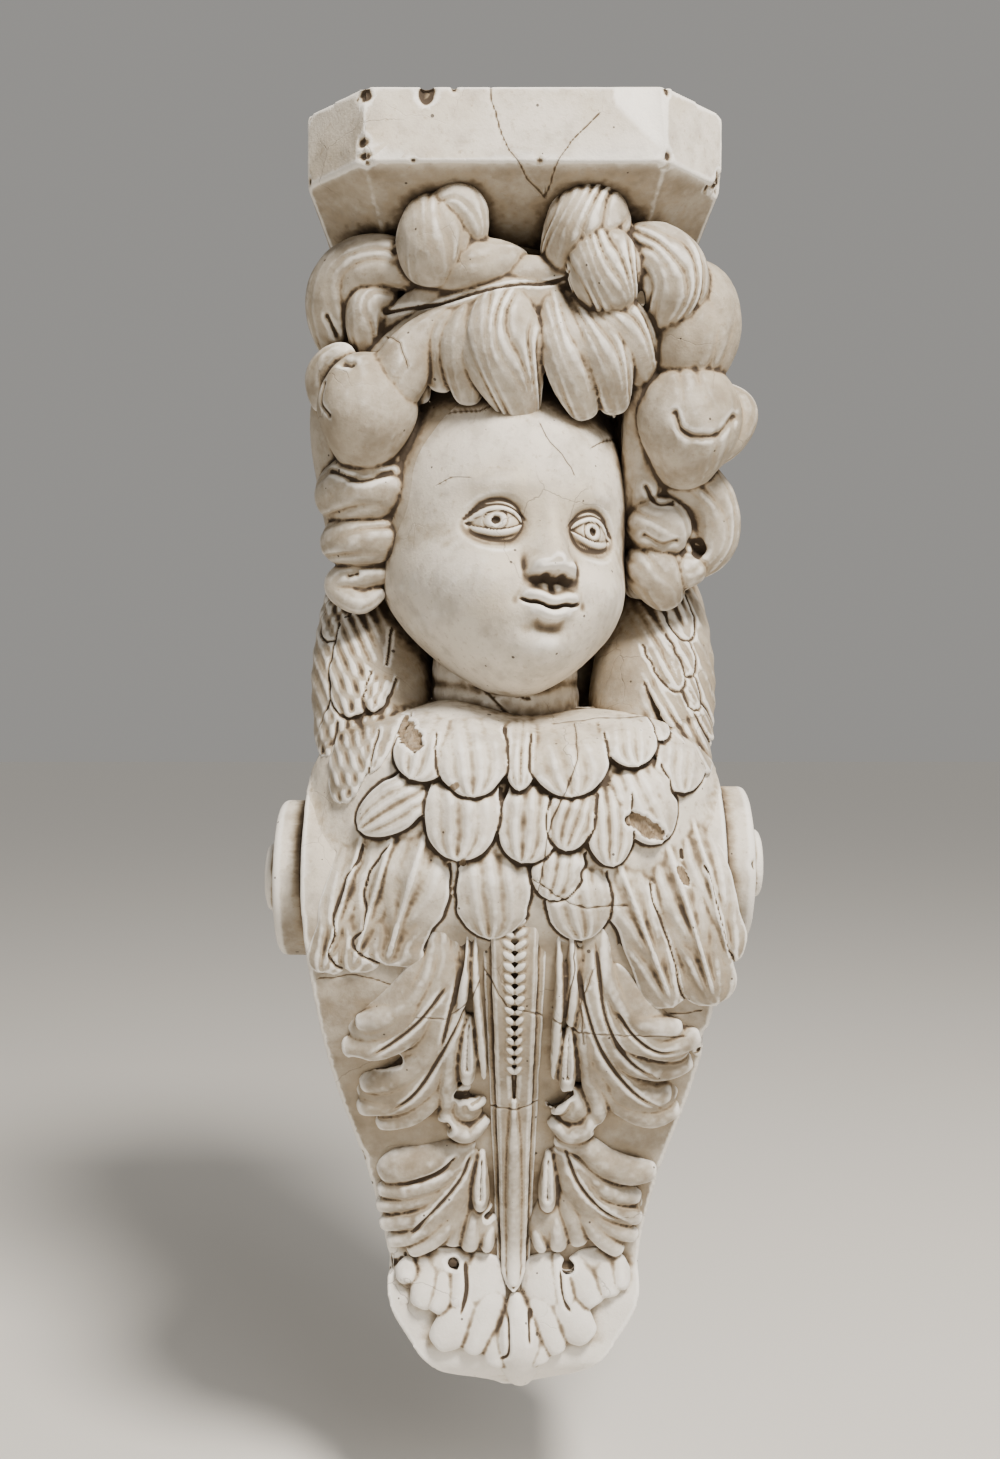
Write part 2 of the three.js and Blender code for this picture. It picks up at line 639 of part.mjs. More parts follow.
// The whole casting: every form joined, then only its outer skin kept,
// because plaster fills the small sealed pockets between neighbouring forms.
function outerSkin(whole) {
  const { vertProperties, triVerts } = whole.getMesh();
  const owner = Array.from({ length: vertProperties.length / 3 }, (_, i) => i);
  const find = (i) => {
    let at = i;
    while (owner[at] !== at) {
      owner[at] = owner[owner[at]];
      at = owner[at];
    }
    return at;
  };
  for (let i = 0; i < triVerts.length; i += 3) {
    owner[find(triVerts[i])] = find(triVerts[i + 1]);
    owner[find(triVerts[i + 1])] = find(triVerts[i + 2]);
  }
  const sizes = new Map();
  for (let i = 0; i < triVerts.length; i += 3) {
    const group = find(triVerts[i]);
    sizes.set(group, (sizes.get(group) ?? 0) + 1);
  }
  const [largest] = [...sizes].sort((a, b) => b[1] - a[1])[0];
  const kept = [];
  for (let i = 0; i < triVerts.length; i += 3) {
    if (find(triVerts[i]) === largest) {
      kept.push(triVerts[i], triVerts[i + 1], triVerts[i + 2]);
    }
  }
  const geometry = new THREE.BufferGeometry();
  geometry.setAttribute("position", new THREE.BufferAttribute(new Float32Array(vertProperties), 3));
  geometry.setIndex(kept);
  return geometry;
}

const forms = [
  backSlab(), shelf(), consoleBody(), roll(-1), roll(1), breast(), wing(-1), wing(1),
  neck(), head(), hair(), strip(), leafwork(),
];
const casting = new THREE.Mesh(
  outerSkin(forms.reduce((whole, each) => whole.add(each))),
  new THREE.MeshStandardMaterial({ color: 0xcdc6b9, roughness: 0.75, metalness: 0 }),
);
casting.name = "corbel";

const corbel = new THREE.Group();
corbel.add(casting);

export default corbel;
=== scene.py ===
# Cherub wall corbel: a winged child's head on a leaf-carved console, cast as one
# piece in fibrous plaster and painted cream. It hangs by its flat back.
import math

import bpy
import numpy as np
from mathutils import Euler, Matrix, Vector


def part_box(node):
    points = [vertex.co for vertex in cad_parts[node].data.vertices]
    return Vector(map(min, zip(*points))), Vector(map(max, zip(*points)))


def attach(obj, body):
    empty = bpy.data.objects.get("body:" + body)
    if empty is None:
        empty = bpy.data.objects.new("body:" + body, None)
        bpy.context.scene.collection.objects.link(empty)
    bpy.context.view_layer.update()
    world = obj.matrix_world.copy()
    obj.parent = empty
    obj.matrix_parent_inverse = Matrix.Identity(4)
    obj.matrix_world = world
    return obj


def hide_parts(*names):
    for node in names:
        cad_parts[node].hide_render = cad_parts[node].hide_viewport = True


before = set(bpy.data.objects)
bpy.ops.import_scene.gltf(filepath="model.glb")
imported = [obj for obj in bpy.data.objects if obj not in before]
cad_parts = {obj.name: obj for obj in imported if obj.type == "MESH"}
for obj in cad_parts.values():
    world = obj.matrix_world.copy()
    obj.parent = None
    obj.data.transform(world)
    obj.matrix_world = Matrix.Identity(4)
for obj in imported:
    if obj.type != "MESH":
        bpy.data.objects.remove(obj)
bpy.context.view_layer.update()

# Shelf. The chamfered slab that carries the load, with a splayed soffit run in the
# same mould. Its long edges are straight but worn, and its front corners have chips.

MM = 0.001
edge_room = 0.05
casting_low, casting_high = (np.array(corner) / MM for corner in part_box("corbel"))
casting_top = casting_high[2]
casting_bottom = casting_low[2]

shelf_half = 106
shelf_deep = 185
shelf_band = 36
chamfer_wide = 32
chamfer_deep = 35
soffit_drop = 32
soffit_inset = 13
soffit_set_back = 70
band_bottom = casting_top - shelf_band
soffit_bottom = band_bottom - soffit_drop
fineness = 1


def eased(start, end, value):
    """0 on one side of a step and 1 on the other, with a soft slope between."""
    share = np.clip((value - start) / (end - start), 0, 1)
    return share * share * (3 - 2 * share)


grain = np.random.default_rng(7).random((64, 64, 64))


def lumps(points, size):
    """Soft random lumps about size millimetres across, from -1 to 1."""
    at = np.asarray(points) / size
    low = np.floor(at).astype(int)
    part = at - low
    part = part * part * (3 - 2 * part)
    total = 0
    for corner in range(8):
        step = np.array([corner & 1, corner >> 1 & 1, corner >> 2 & 1])
        weight = np.prod(np.where(step, part, 1 - part), axis=-1)
        cell = (low + step) % 64
        total = total + weight * grain[cell[..., 0], cell[..., 1], cell[..., 2]]
    return 2 * total - 1


class Clay:
    """Closed shapes pressed together, in millimetres, before they become one skin. Add
    presses one more shape on, and mesh gives them all as a mesh of squares."""

    def __init__(self):
        self.points = []
        self.faces = []
        self.count = 0

    def add(self, points, faces):
        self.points.append(np.asarray(points, float))
        self.faces.append(np.asarray(faces, int) + self.count)
        self.count += len(points)

    def mesh(self, name):
        mesh = bpy.data.meshes.new(name)
        corners = np.vstack(self.faces)
        mesh.vertices.add(self.count)
        mesh.vertices.foreach_set("co", (np.vstack(self.points) * MM).astype(np.float32).ravel())
        mesh.loops.add(corners.size)
        mesh.loops.foreach_set("vertex_index", corners.astype(np.int32).ravel())
        mesh.polygons.add(len(corners))
        mesh.polygons.foreach_set("loop_start", np.arange(0, corners.size, 4, dtype=np.int32))
        mesh.polygons.foreach_set("loop_total", np.full(len(corners), 4, dtype=np.int32))
        mesh.update()
        return mesh


def lofted(clay, sections):
    """A solid through like sections, each an even ring of points, closed at both ends."""
    rows, ring = sections.shape[:2]
    row, place = np.meshgrid(np.arange(rows - 1) * ring, np.arange(ring), indexing="ij")
    after = (place + 1) % ring
    sides = np.stack([row + place, row + after, row + ring + after, row + ring + place], axis=-1)
    place = np.arange(ring // 2 - 1)
    cap = np.stack([ring - 1 - place, ring - 2 - place, place + 1, place], axis=-1)
    faces = np.vstack([sides.reshape(-1, 4), cap, cap[:, ::-1] + (rows - 1) * ring])
    clay.add(sections.reshape(-1, 3), faces)


def points_of(mesh):
    """Where a mesh's points are, in millimetres."""
    flat = np.empty(3 * len(mesh.vertices), np.float32)
    mesh.vertices.foreach_get("co", flat)
    return flat.reshape(-1, 3).astype(float) / MM


def normals_of(mesh):
    """Which way a mesh faces at each of its points."""
    flat = np.empty(3 * len(mesh.vertices), np.float32)
    mesh.vertex_normals.foreach_get("vector", flat)
    return flat.reshape(-1, 3).astype(float)


def move_points(mesh, points):
    """Puts points back, kept inside the casting's own box."""
    kept = np.clip(points, casting_low + edge_room, casting_high - edge_room)
    mesh.vertices.foreach_set("co", (kept * MM).astype(np.float32).ravel())
    mesh.update()


def spread_out(mesh, points, times):
    """A mesh's points, each drawn halfway to the mean of its neighbours, over and over."""
    edges = np.empty(2 * len(mesh.edges), np.int32)
    mesh.edges.foreach_get("vertices", edges)
    near, far = edges.reshape(-1, 2).T
    count = len(points)
    neighbours = np.maximum(np.bincount(near, minlength=count) + np.bincount(far, minlength=count), 1)
    columns = points.T
    for _ in range(times):
        sums = [np.bincount(near, line[far], count) + np.bincount(far, line[near], count) for line in columns]
        columns = 0.5 * columns + 0.5 * np.array(sums) / neighbours
    return columns.T


def settled(body):
    """Works an object's changes of shape into its mesh."""
    bpy.context.view_layer.update()
    seen = body.evaluated_get(bpy.context.evaluated_depsgraph_get())
    mesh = bpy.data.meshes.new_from_object(seen)
    body.modifiers.clear()
    old = body.data
    body.data = mesh
    bpy.data.meshes.remove(old)


pieces = []
# How far out the casting stands, over a grid of cells seen from the front, with some
# room round it. Each piece marks its own part, and the painted shade in the hollows is
# laid by it at the end.
map_cell = 2.0
map_room = 10
map_empty = -50.0
map_low = casting_low - map_room
map_size = np.ceil((casting_high - map_low + map_room) / map_cell).astype(int)
front_map = np.full((map_size[0], map_size[2]), map_empty)
fold_reach = 7
full_fold = 0.3


def map_cells(points):
    """The cells of the front map that points lie in."""
    at = ((points - map_low) / map_cell).astype(int)
    return np.clip(at[:, 0], 0, map_size[0] - 1), np.clip(at[:, 2], 0, map_size[2] - 1)


def stored(mesh, name, values):
    """Keeps a value at each point for the paint to read."""
    layer = mesh.attributes.new(name, "FLOAT", "POINT")
    layer.data.foreach_set("value", np.asarray(values, np.float32))


def mapped(mesh):
    """Marks a mesh in the front map and keeps how folded in or out each point lies."""
    seen = points_of(mesh)
    np.maximum.at(front_map, map_cells(seen), -seen[:, 1])
    inward = ((spread_out(mesh, seen, fold_reach) - seen) * normals_of(mesh)).sum(axis=1)
    # The fold later gives painted shade in creases and pale edges, partly wear and partly painted highlight
    stored(mesh, "fold", np.clip(inward / full_fold, -1.5, 1.5))


def skin(clay, name, voxel, most, relief, cuts=None, rounds=2):
    """Clay drawn into one closed skin, worn a little, and thinned where it is flat. The
    relief swells it and the cuts are scored into it, both in millimetres. A piece with no
    cuts of its own has only its cracks."""
    body = bpy.data.objects.new(name, clay.mesh(name))
    bpy.context.scene.collection.objects.link(body)
    remesh = body.modifiers.new("skin", "REMESH")
    remesh.mode = "VOXEL"
    remesh.voxel_size = voxel * MM * fineness
    settled(body)
    mesh = body.data
    worn = spread_out(mesh, points_of(mesh), rounds)
    move_points(mesh, worn)
    depth = relief(worn) - (cuts(worn) if cuts else cracked(worn, name))
    move_points(mesh, worn + normals_of(mesh) * depth[:, None])
    triangles = 2 * len(mesh.polygons)
    mapped(mesh)
    if triangles > most:
        thin = body.modifiers.new("thin", "DECIMATE")
        thin.ratio = most / triangles
        settled(body)
    finished(body)


def finished(body):
    """What every piece of the casting shares: smooth faces, its body and the corbel node hidden."""
    body.data.polygons.foreach_set("use_smooth", np.ones(len(body.data.polygons), bool))
    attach(body, "root")
    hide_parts("corbel")
    pieces.append(body)


def line_gap(points, line):
    """How far points seen from the front are from a line of places across and up, to
    which side of it they lie, and where along it from 0 to 1."""
    line = np.asarray(line, float)
    flat = points[:, [0, 2]]
    best = np.full(len(flat), 1e9)
    side = np.ones(len(flat))
    share = np.zeros(len(flat))
    for number, (start, end) in enumerate(zip(line, line[1:])):
        way = end - start
        offset = flat - start
        part = np.clip(offset @ way / (way @ way), 0, 1)
        gap = np.linalg.norm(offset - part[:, None] * way, axis=1)
        nearer = gap < best
        best[nearer] = gap[nearer]
        side[nearer] = np.sign(offset[nearer, 0] * way[1] - offset[nearer, 1] * way[0] + 1e-9)
        share[nearer] = (number + part[nearer]) / (len(line) - 1)
    return best, side, share


def near_line(points, line, reach):
    """Which points lie in a line's box, with some room round it."""
    line = np.asarray(line, float)
    low, high = line.min(axis=0) - reach, line.max(axis=0) + reach
    flat = points[:, [0, 2]]
    return np.flatnonzero((flat > low).all(axis=1) & (flat < high).all(axis=1))


def shelf_plan(level, wide=1.0, deep=1.0):
    """The shelf's outline at a level, as it is or with its width and depth reduced."""
    half, front = shelf_half * wide, shelf_deep * deep
    side, corner = (shelf_deep - chamfer_deep) * deep, (shelf_half - chamfer_wide) * wide
    return np.array([
        [-half, 0, level], [-half, -side, level], [-corner, -front, level],
        [corner, -front, level], [half, -side, level], [half, 0, level],
    ])


shelf_clay = Clay()
soffit = shelf_plan(soffit_bottom, 1 - soffit_inset / shelf_half, 1 - soffit_set_back / shelf_deep)
lofted(shelf_clay, np.array([shelf_plan(band_bottom), shelf_plan(casting_top)]))
lofted(shelf_clay, np.array([soffit, shelf_plan(band_bottom)]))

# Flakes lost from the shelf's edges: place across, out and up, with how far each bites
shelf_chips = [
    (-74, 185, 341, 2.0), (-75, 184, 318, 1.7), (-74, 184, 311, 2.4), (-30, 185, 345, 0.9),
    (74, 185, 343, 1.5), (106, 150, 309, 3.0), (75, 185, 310, 2.0), (-106, 150, 311, 1.6),
    (12, 185, 309, 1.0), (-106, 152, 344, 1.3), (104, 148, 345, 1.2), (-50, 185, 309, 1.1),
]
shelf_pit = (-43.5, 341)
# Cracks that opened as the casting dried, by piece: lines of places across and up
cracks = {
    "shelf": [
        [(-12, 341), (-8, 326), (-3, 314), (6, 304), (15, 299)],
        [(41, 332), (27, 318), (19, 306), (15, 299)], [(-12, 345), (-12, 341)],
    ],
}
crack_deep = 0.35
crack_wide = 0.6
crack_reach = 12
crack_back = -15
no_crack = 50.0
kink_step = 3.5
kink_stray = 0.9


def bitten(points, chips):
    """How much is lost at each point near a chip, in millimetres."""
    loss = np.zeros(len(points))
    rough = 1 + 0.35 * lumps(points, 6) + 0.25 * lumps(points, 2.5)
    for across, out, up, bite in chips:
        near = np.linalg.norm(points - [across, -out, up], axis=1) * rough
        loss = np.maximum(loss, bite * eased(2.6 * bite, 0.8 * bite, near))
    return loss


def wandering(line):
    """A crack's line with small kinks in it."""
    line = np.asarray(line, float)
    route = [line[0]]
    for start, end in zip(line, line[1:]):
        count = max(1, int(np.linalg.norm(end - start) / kink_step))
        for number in range(1, count + 1):
            place = start + (end - start) * number / count
            key = np.array([[place[0], place[1], 5.0], [place[1], 9.0, place[0]]])
            route.append(place + (kink_stray * lumps(key, 4) if number < count else 0))
    return np.array(route)


def crack_gaps(points, name):
    """How far each point is from its piece's nearest crack, with a sign for its side and
    without. What lies far off or well behind has a gap that means none."""
    nearest = np.full(len(points), no_crack)
    signed = nearest.copy()
    for line in cracks.get(name, []):
        route = wandering(line)
        near = near_line(points, route, crack_reach)
        near = near[points[near, 1] < crack_back]
        gap, side, _ = line_gap(points[near], route)
        closer = gap < nearest[near]
        signed[near[closer]] = (gap * side)[closer]
        nearest[near[closer]] = gap[closer]
    return signed, nearest


def cracked(points, name):
    """How deep the cracks are at each point of a piece, in millimetres."""
    return crack_deep * np.exp(-(crack_gaps(points, name)[1] / crack_wide) ** 2)


def shelf_relief(points):
    """The shelf's wavy faces, its chips and the deep pit near its front edge."""
    wave = 0.35 * lumps(points, 42) + 0.16 * lumps(points, 9) + 0.07 * lumps(points, 3)
    gap = np.hypot(points[:, 0] - shelf_pit[0], points[:, 2] - shelf_pit[1])
    pit = 1.6 * eased(5, 3, gap * (1 + 0.3 * lumps(points, 4))) * (points[:, 1] < 5 - shelf_deep)
    return wave - bitten(points, shelf_chips) - pit


skin(shelf_clay, "shelf", 1.25, 45000, shelf_relief, rounds=1)

# Backing. A plain slab behind the head, which ties the shelf to the console. It was
# never meant to be seen, so it was only struck off level while the plaster was wet.

slab_half = 97
slab_deep = 46
slab_bottom = -53
slab_lap = 2
hairline = 0.4


def slab_plan(level):
    """The slab's outline at a level, a hairline in from the flat back."""
    return np.array([
        [-slab_half, -hairline, level], [-slab_half, -slab_deep, level],
        [slab_half, -slab_deep, level], [slab_half, -hairline, level],
    ])


def struck_off(points):
    """The uneven faces of plaster that was levelled with a board."""
    return 0.5 * lumps(points, 38) + 0.25 * lumps(points, 9) - hairline


slab_clay = Clay()
lofted(slab_clay, np.array([slab_plan(slab_bottom), slab_plan(soffit_bottom + slab_lap)]))
skin(slab_clay, "backing", 2.0, 8000, struck_off)

# Console. A plate that bellies out at the top like a scroll, hollows to a waist and
# ends in a rounded foot, with a plain roll standing out of each side.

plate_half = 110
plate_drop = 333
plate_top = casting_top - plate_drop
volute_radius = 65
volute_out = 85
roll_radius = 43
roll_reach = 128
roll_stagger = 4
roll_rise = 6
roll_edge = 3
roll_root = 60
eye_edge = 2
eye_radius = 19
eye_reach = 136
waist_half = 70
waist_out = 78
foot_height = 78
foot_out = 84
roll_level = plate_top - volute_radius
waist_level = casting_bottom + foot_height
console_fall = [1, 0.98, 0.8, 0.5, 0.3, 0.12, 0]
foot_swell = [0, 0.8, 1, 0.75, -3.5]
console_taper = [1, 0.86, 0.64, 0.25, 0]
foot_round = [1, 1, 0.86, 0.62, 0.1]


def along(values, share):
    """The value at a share of a smooth curve through evenly spread values."""
    values = np.asarray(values, float)
    last = len(values) - 1
    at = np.clip(np.asarray(share, float), 0, 1) * last
    number = np.minimum(at.astype(int), last - 1)
    part = at - number
    before, start, end, after = (values[np.clip(number + step, 0, last)] for step in (-1, 0, 1, 2))
    if values.ndim > 1:
        part = part[..., None]
    bend = 2 * before - 5 * start + 4 * end - after
    turn = 3 * start - before - 3 * end + after
    return 0.5 * (2 * start + (end - before) * part + bend * part * part + turn * part ** 3)


def front_at(up):
    """How far the console's front stands out at a height."""
    rise = np.clip(up - roll_level, 0, volute_radius)
    belly = volute_out + np.sqrt(volute_radius ** 2 - rise ** 2)
    fall = along(console_fall, (roll_level - up) / (roll_level - waist_level))
    stem = waist_out + (volute_out + volute_radius - waist_out) * fall
    foot = waist_out + (foot_out - waist_out) * along(foot_swell, (waist_level - up) / foot_height)
    return np.where(up >= roll_level, belly, np.where(up >= waist_level, stem, foot))


def half_width_at(up):
    """The console's half-width at a height."""
    taper = along(console_taper, (roll_level - up) / (roll_level - waist_level))
    stem = waist_half + (plate_half - waist_half) * taper
    foot = waist_half * along(foot_round, (waist_level - up) / foot_height)
    return np.where(up >= roll_level, plate_half, np.where(up >= waist_level, stem, foot))


console_clay = Clay()
plate_rings = []
for up in np.linspace(plate_top, casting_bottom, 240):
    half, out = float(half_width_at(up)), float(front_at(up))
    plate_rings.append([[half, 0, up], [half, -out, up], [-half, -out, up], [-half, 0, up]])
lofted(console_clay, np.array(plate_rings))


def turned(clay, outline, centre, side):
    """A round form turned about a line that runs out to one side."""
    angle = np.linspace(0, 2 * np.pi, 96, endpoint=False)
    radius, reach = np.asarray(outline, float).T
    sections = np.stack([
        centre[0] + side * reach[:, None] + 0 * angle,
        centre[1] + radius[:, None] * np.cos(angle),
        centre[2] + radius[:, None] * np.sin(angle),
    ], axis=-1)
    lofted(clay, sections)


for side in (-1, 1):
    turned(console_clay, [
        (roll_radius, roll_root), (roll_radius, roll_reach - roll_edge),
        (roll_radius - 1, roll_reach - 1), (roll_radius - roll_edge, roll_reach),
        (eye_radius, roll_reach), (eye_radius, eye_reach - eye_edge), (eye_radius - eye_edge, eye_reach),
    ], (0, -volute_out, roll_level + roll_rise + side * roll_stagger), side)

# Chips along the console's edges: place across, out and up, with how far each bites
console_chips = [
    (-107, 128, -110, 4), (107, 128, -130, 5), (-86, 98, -205, 2.2), (84, 92, -215, 2.5),
    (-110, 88, 12, 2.5), (110, 92, 12, 2.2), (128, 128, -40, 2.0), (-70, 78, -268, 3),
    (-64, 70, -300, 3.5),
]
cracks["console"] = [
    [(-101, -97), (-82, -95), (-62, -101)], [(20, -113), (40, -120), (70, -119), (97, -115)],
    [(-44, 9), (-40, -12)],
]


def console_relief(points):
    """The console's wavy faces and the chips along its edges."""
    return 0.4 * lumps(points, 40) + 0.18 * lumps(points, 8) - bitten(points, console_chips) - 0.2


skin(console_clay, "console", 1.3, 85000, console_relief)

# Middle stem. Two flat rails with a chain of little husks in the channel between them,
# which close into one ribbed stem that ends in a blunt point.

strip_half = 17
strip_raise = 7
strip_from = 0.2
strip_to = 0.82
# Each rail's inner and outer edge and its height, as shares of the strip's, and how much
# of the closing at the channel's end moves each edge
rails = [(-1, 1, 0.45, 0, 0), (-0.74, -0.16, 1.0, 0, 1), (0.16, 0.74, 1.0, -1, 0)]
rail_root = 10
rail_edge = 1.5
rail_slope = 0.18
rail_close = 0.16
husks = 15
husk_size = 3.6
husk_shrink = 0.09
husk_from = strip_from + 0.012
husk_run = 0.245


def on_front(share, down, lift=0.0):
    """A place on the console's front, from its shares of the half-width and the height."""
    up = plate_top + (casting_bottom - plate_top) * np.asarray(down, float)
    share, lift, up = np.broadcast_arrays(np.asarray(share, float), np.asarray(lift, float), up)
    return np.stack([share * half_width_at(up), -(front_at(up) + lift), up], axis=-1)


def path_through(points, share):
    """Places on a smooth curve through points, run on straight past both ends."""
    points = np.asarray(points, float)
    longer = np.vstack([2 * points[0] - points[1], points, 2 * points[-1] - points[-2]])
    span = len(points) - 1
    return along(longer, (np.asarray(share) * span + 1) / (span + 2))


def tongue(clay, points, half_widths, heights=None, outward=(0, -1, 0), blunt=0.55,
           strands=0, depth=0.0, wind=0.0, ring=40, rows=44):
    """A form swept along a curve and rounded at both ends. Strands groove it lengthwise to
    a depth, as a share of its thickness, and wind turns them round it."""
    polar = np.linspace(0, np.pi, rows)
    share = (1 - np.cos(polar)) / 2
    swell = np.sin(polar) ** blunt
    swell[[0, -1]] = 0
    centre = path_through(points, share)
    tangent = path_through(points, share + 0.01) - path_through(points, share - 0.01)
    tangent /= np.linalg.norm(tangent, axis=1)[:, None]
    outward = np.asarray(outward, float)
    crown = outward - (tangent @ outward)[:, None] * tangent
    crown /= np.linalg.norm(crown, axis=1)[:, None]
    across = np.cross(crown, tangent)
    angle = np.linspace(0, 2 * np.pi, ring, endpoint=False)
    groove = 1.0
    if strands:
        down = share[:, None]
        uneven = 0.2 * np.sin(2 * angle + 5 * down) + 0.1 * np.sin(5 * angle - 7 * down)
        ridge = np.abs(np.sin(0.5 * strands * (angle + uneven + wind * (down - 0.5))))
        groove = 1 - depth * (0.6 + 0.4 * np.cos(3 * angle + 6 * down)) * (1 - ridge ** 0.7)
    wide = (along(half_widths, share) * swell)[:, None] * groove
    tall = (along(heights if heights is not None else half_widths, share) * swell)[:, None] * groove
    rings = (
        centre[:, None]
        + across[:, None] * (wide * np.cos(angle))[..., None]
        + crown[:, None] * (tall * np.sin(angle))[..., None]
    )
    lofted(clay, rings)


stem_clay = Clay()
down = np.linspace(strip_from, strip_to, 130)
narrowing = 1 - 0.5 * (down - strip_from) / (strip_to - strip_from)
meeting = eased(0.42, 0.56, down) * rail_close
point = np.sqrt(np.clip((strip_to - down) / 0.03, 0, 1))
for inner, outer, raised, inner_moves, outer_moves in rails:
    rings = []
    for (_, front, up), narrow, meet, end in zip(on_front(0, down), narrowing, meeting, point):
        left = strip_half * narrow * (inner + meet * inner_moves)
        right = strip_half * narrow * (outer + meet * outer_moves)
        slope = rail_slope * (right - left)
        left, right = left * end, right * end
        root, high = front + rail_root, front - strip_raise * raised
        rings.append([
            [left, root, up], [left, high + rail_edge, up], [left + slope, high, up],
            [right - slope, high, up], [right, high + rail_edge, up], [right, root, up],
        ])
    lofted(stem_clay, np.array(rings))
rib = on_front(0, np.linspace(0.5, strip_to - 0.01, 9), strip_raise)
tongue(stem_clay, rib, [2, 3.4, 3.8, 4, 4.2], [2, 3, 3.4, 3.6, 3.2], blunt=0.3)
for number in range(husks):
    place_down = husk_from + husk_run * number / husks
    size = husk_size - husk_shrink * number
    for side in (-1, 1):
        husk = on_front(
            [0.0, side * size * 0.011, side * size * 0.019],
            [place_down + 0.016, place_down + 0.006, place_down - 0.004],
            strip_raise * np.array([0.75, 0.95, 0.7]),
        )
        tongue(stem_clay, husk, [size * 0.55, size * 0.62, size * 0.3], ring=16, rows=14)


def carved(points):
    """The unevenness that a modelling tool and many coats of paint leave."""
    return 0.28 * lumps(points, 14) + 0.16 * lumps(points, 5) + 0.06 * lumps(points, 2.4)


cracks["stem"] = [
    [(-16, -91), (-4, -111), (10, -115), (20, -121)], [(-17, -171), (2, -172), (14, -168)],
]
skin(stem_clay, "stem", 0.8, 45000, carved, rounds=1)

# Leaves. Acanthus in three tiers on each side of the stem, cast with the console: broad
# bands fall beside the stem, sweep out and part into round fingers, with drilled eyelets.

leaf_raise = 9


def on_console(places, lifts):
    """Places on the console's front, from how far across and how high they are."""
    across, up = np.asarray(places, float).T
    lifts = along(lifts, np.linspace(0, 1, len(across)))
    return np.stack([across, -(front_at(up) + lifts), up], axis=-1)


# How far a band's tip lifts, and how its half-width and height change down its length
band_lifts = leaf_raise * np.array([0.0, 0.15, 0.3, 0.45, 0.3])
band_spread = np.array([0.85, 1.05, 1.2, 1.28, 1.22])
band_heights = leaf_raise * np.array([0.6, 0.66, 0.7, 0.72, 0.6])
# Each band's line from its root to its tip, across and up, then its half-width
bands = [
    ([(-39, -67), (-44, -93), (-57, -110), (-70, -118), (-82, -121)], 5.6),
    ([(-36, -67), (-40, -98), (-52, -121), (-71, -133), (-90, -135)], 7.0),
    ([(-33, -67), (-36, -109), (-45, -134), (-62, -152), (-82, -158)], 6.6),
    ([(-30, -67), (-32, -116), (-40, -144), (-58, -165), (-84, -172)], 6.6),
    ([(-27, -70), (-32, -123), (-39, -154), (-53, -173), (-74, -182)], 6.0),
    ([(-25, -80), (-29, -111), (-34, -138), (-36, -160), (-34, -177)], 4.8),
    ([(-24, -67), (-26, -97), (-29, -120)], 2.4),
    ([(-20, -67), (-20, -97), (-18, -123), (-16, -154)], 1.9),
    ([(44, -67), (48, -98), (60, -117), (74, -123), (87, -124)], 5.2),
    ([(41, -67), (44, -109), (58, -128), (78, -133), (97, -128)], 6.2),
    ([(38, -67), (42, -118), (57, -139), (76, -147), (94, -143)], 6.6),
    ([(36, -69), (41, -127), (54, -152), (70, -163), (84, -163)], 6.6),
    ([(33, -70), (39, -134), (52, -163), (72, -176), (89, -172)], 6.2),
    ([(32, -80), (36, -123), (40, -150), (45, -169), (44, -181)], 4.8),
    ([(29, -67), (30, -97), (29, -123)], 2.6),
    ([(22, -67), (23, -97), (22, -123), (21, -154)], 2.2),
    ([(-22, -192), (-34, -199), (-50, -205), (-63, -207), (-73, -213)], 7.6),
    ([(-22, -196), (-35, -210), (-52, -219), (-75, -222)], 5.4),
    ([(-22, -198), (-35, -216), (-53, -226), (-76, -232)], 5.2),
    ([(-22, -200), (-33, -221), (-51, -236), (-74, -243)], 5.2),
    ([(-22, -204), (-32, -227), (-48, -244), (-70, -254)], 5.2),
    ([(-22, -208), (-30, -231), (-42, -248), (-58, -260)], 5.2),
    ([(-24, -220), (-32, -239), (-34, -256)], 6.0),
    ([(22, -192), (38, -195), (50, -205), (64, -210), (78, -210)], 6.6),
    ([(22, -196), (40, -210), (52, -221), (70, -227)], 5.4),
    ([(24, -198), (38, -218), (50, -231), (71, -240)], 5.4),
    ([(25, -200), (39, -225), (51, -242), (69, -251)], 5.4),
    ([(25, -204), (37, -231), (48, -248), (60, -260)], 5.4),
    ([(28, -212), (32, -235), (37, -256)], 6.0),
]
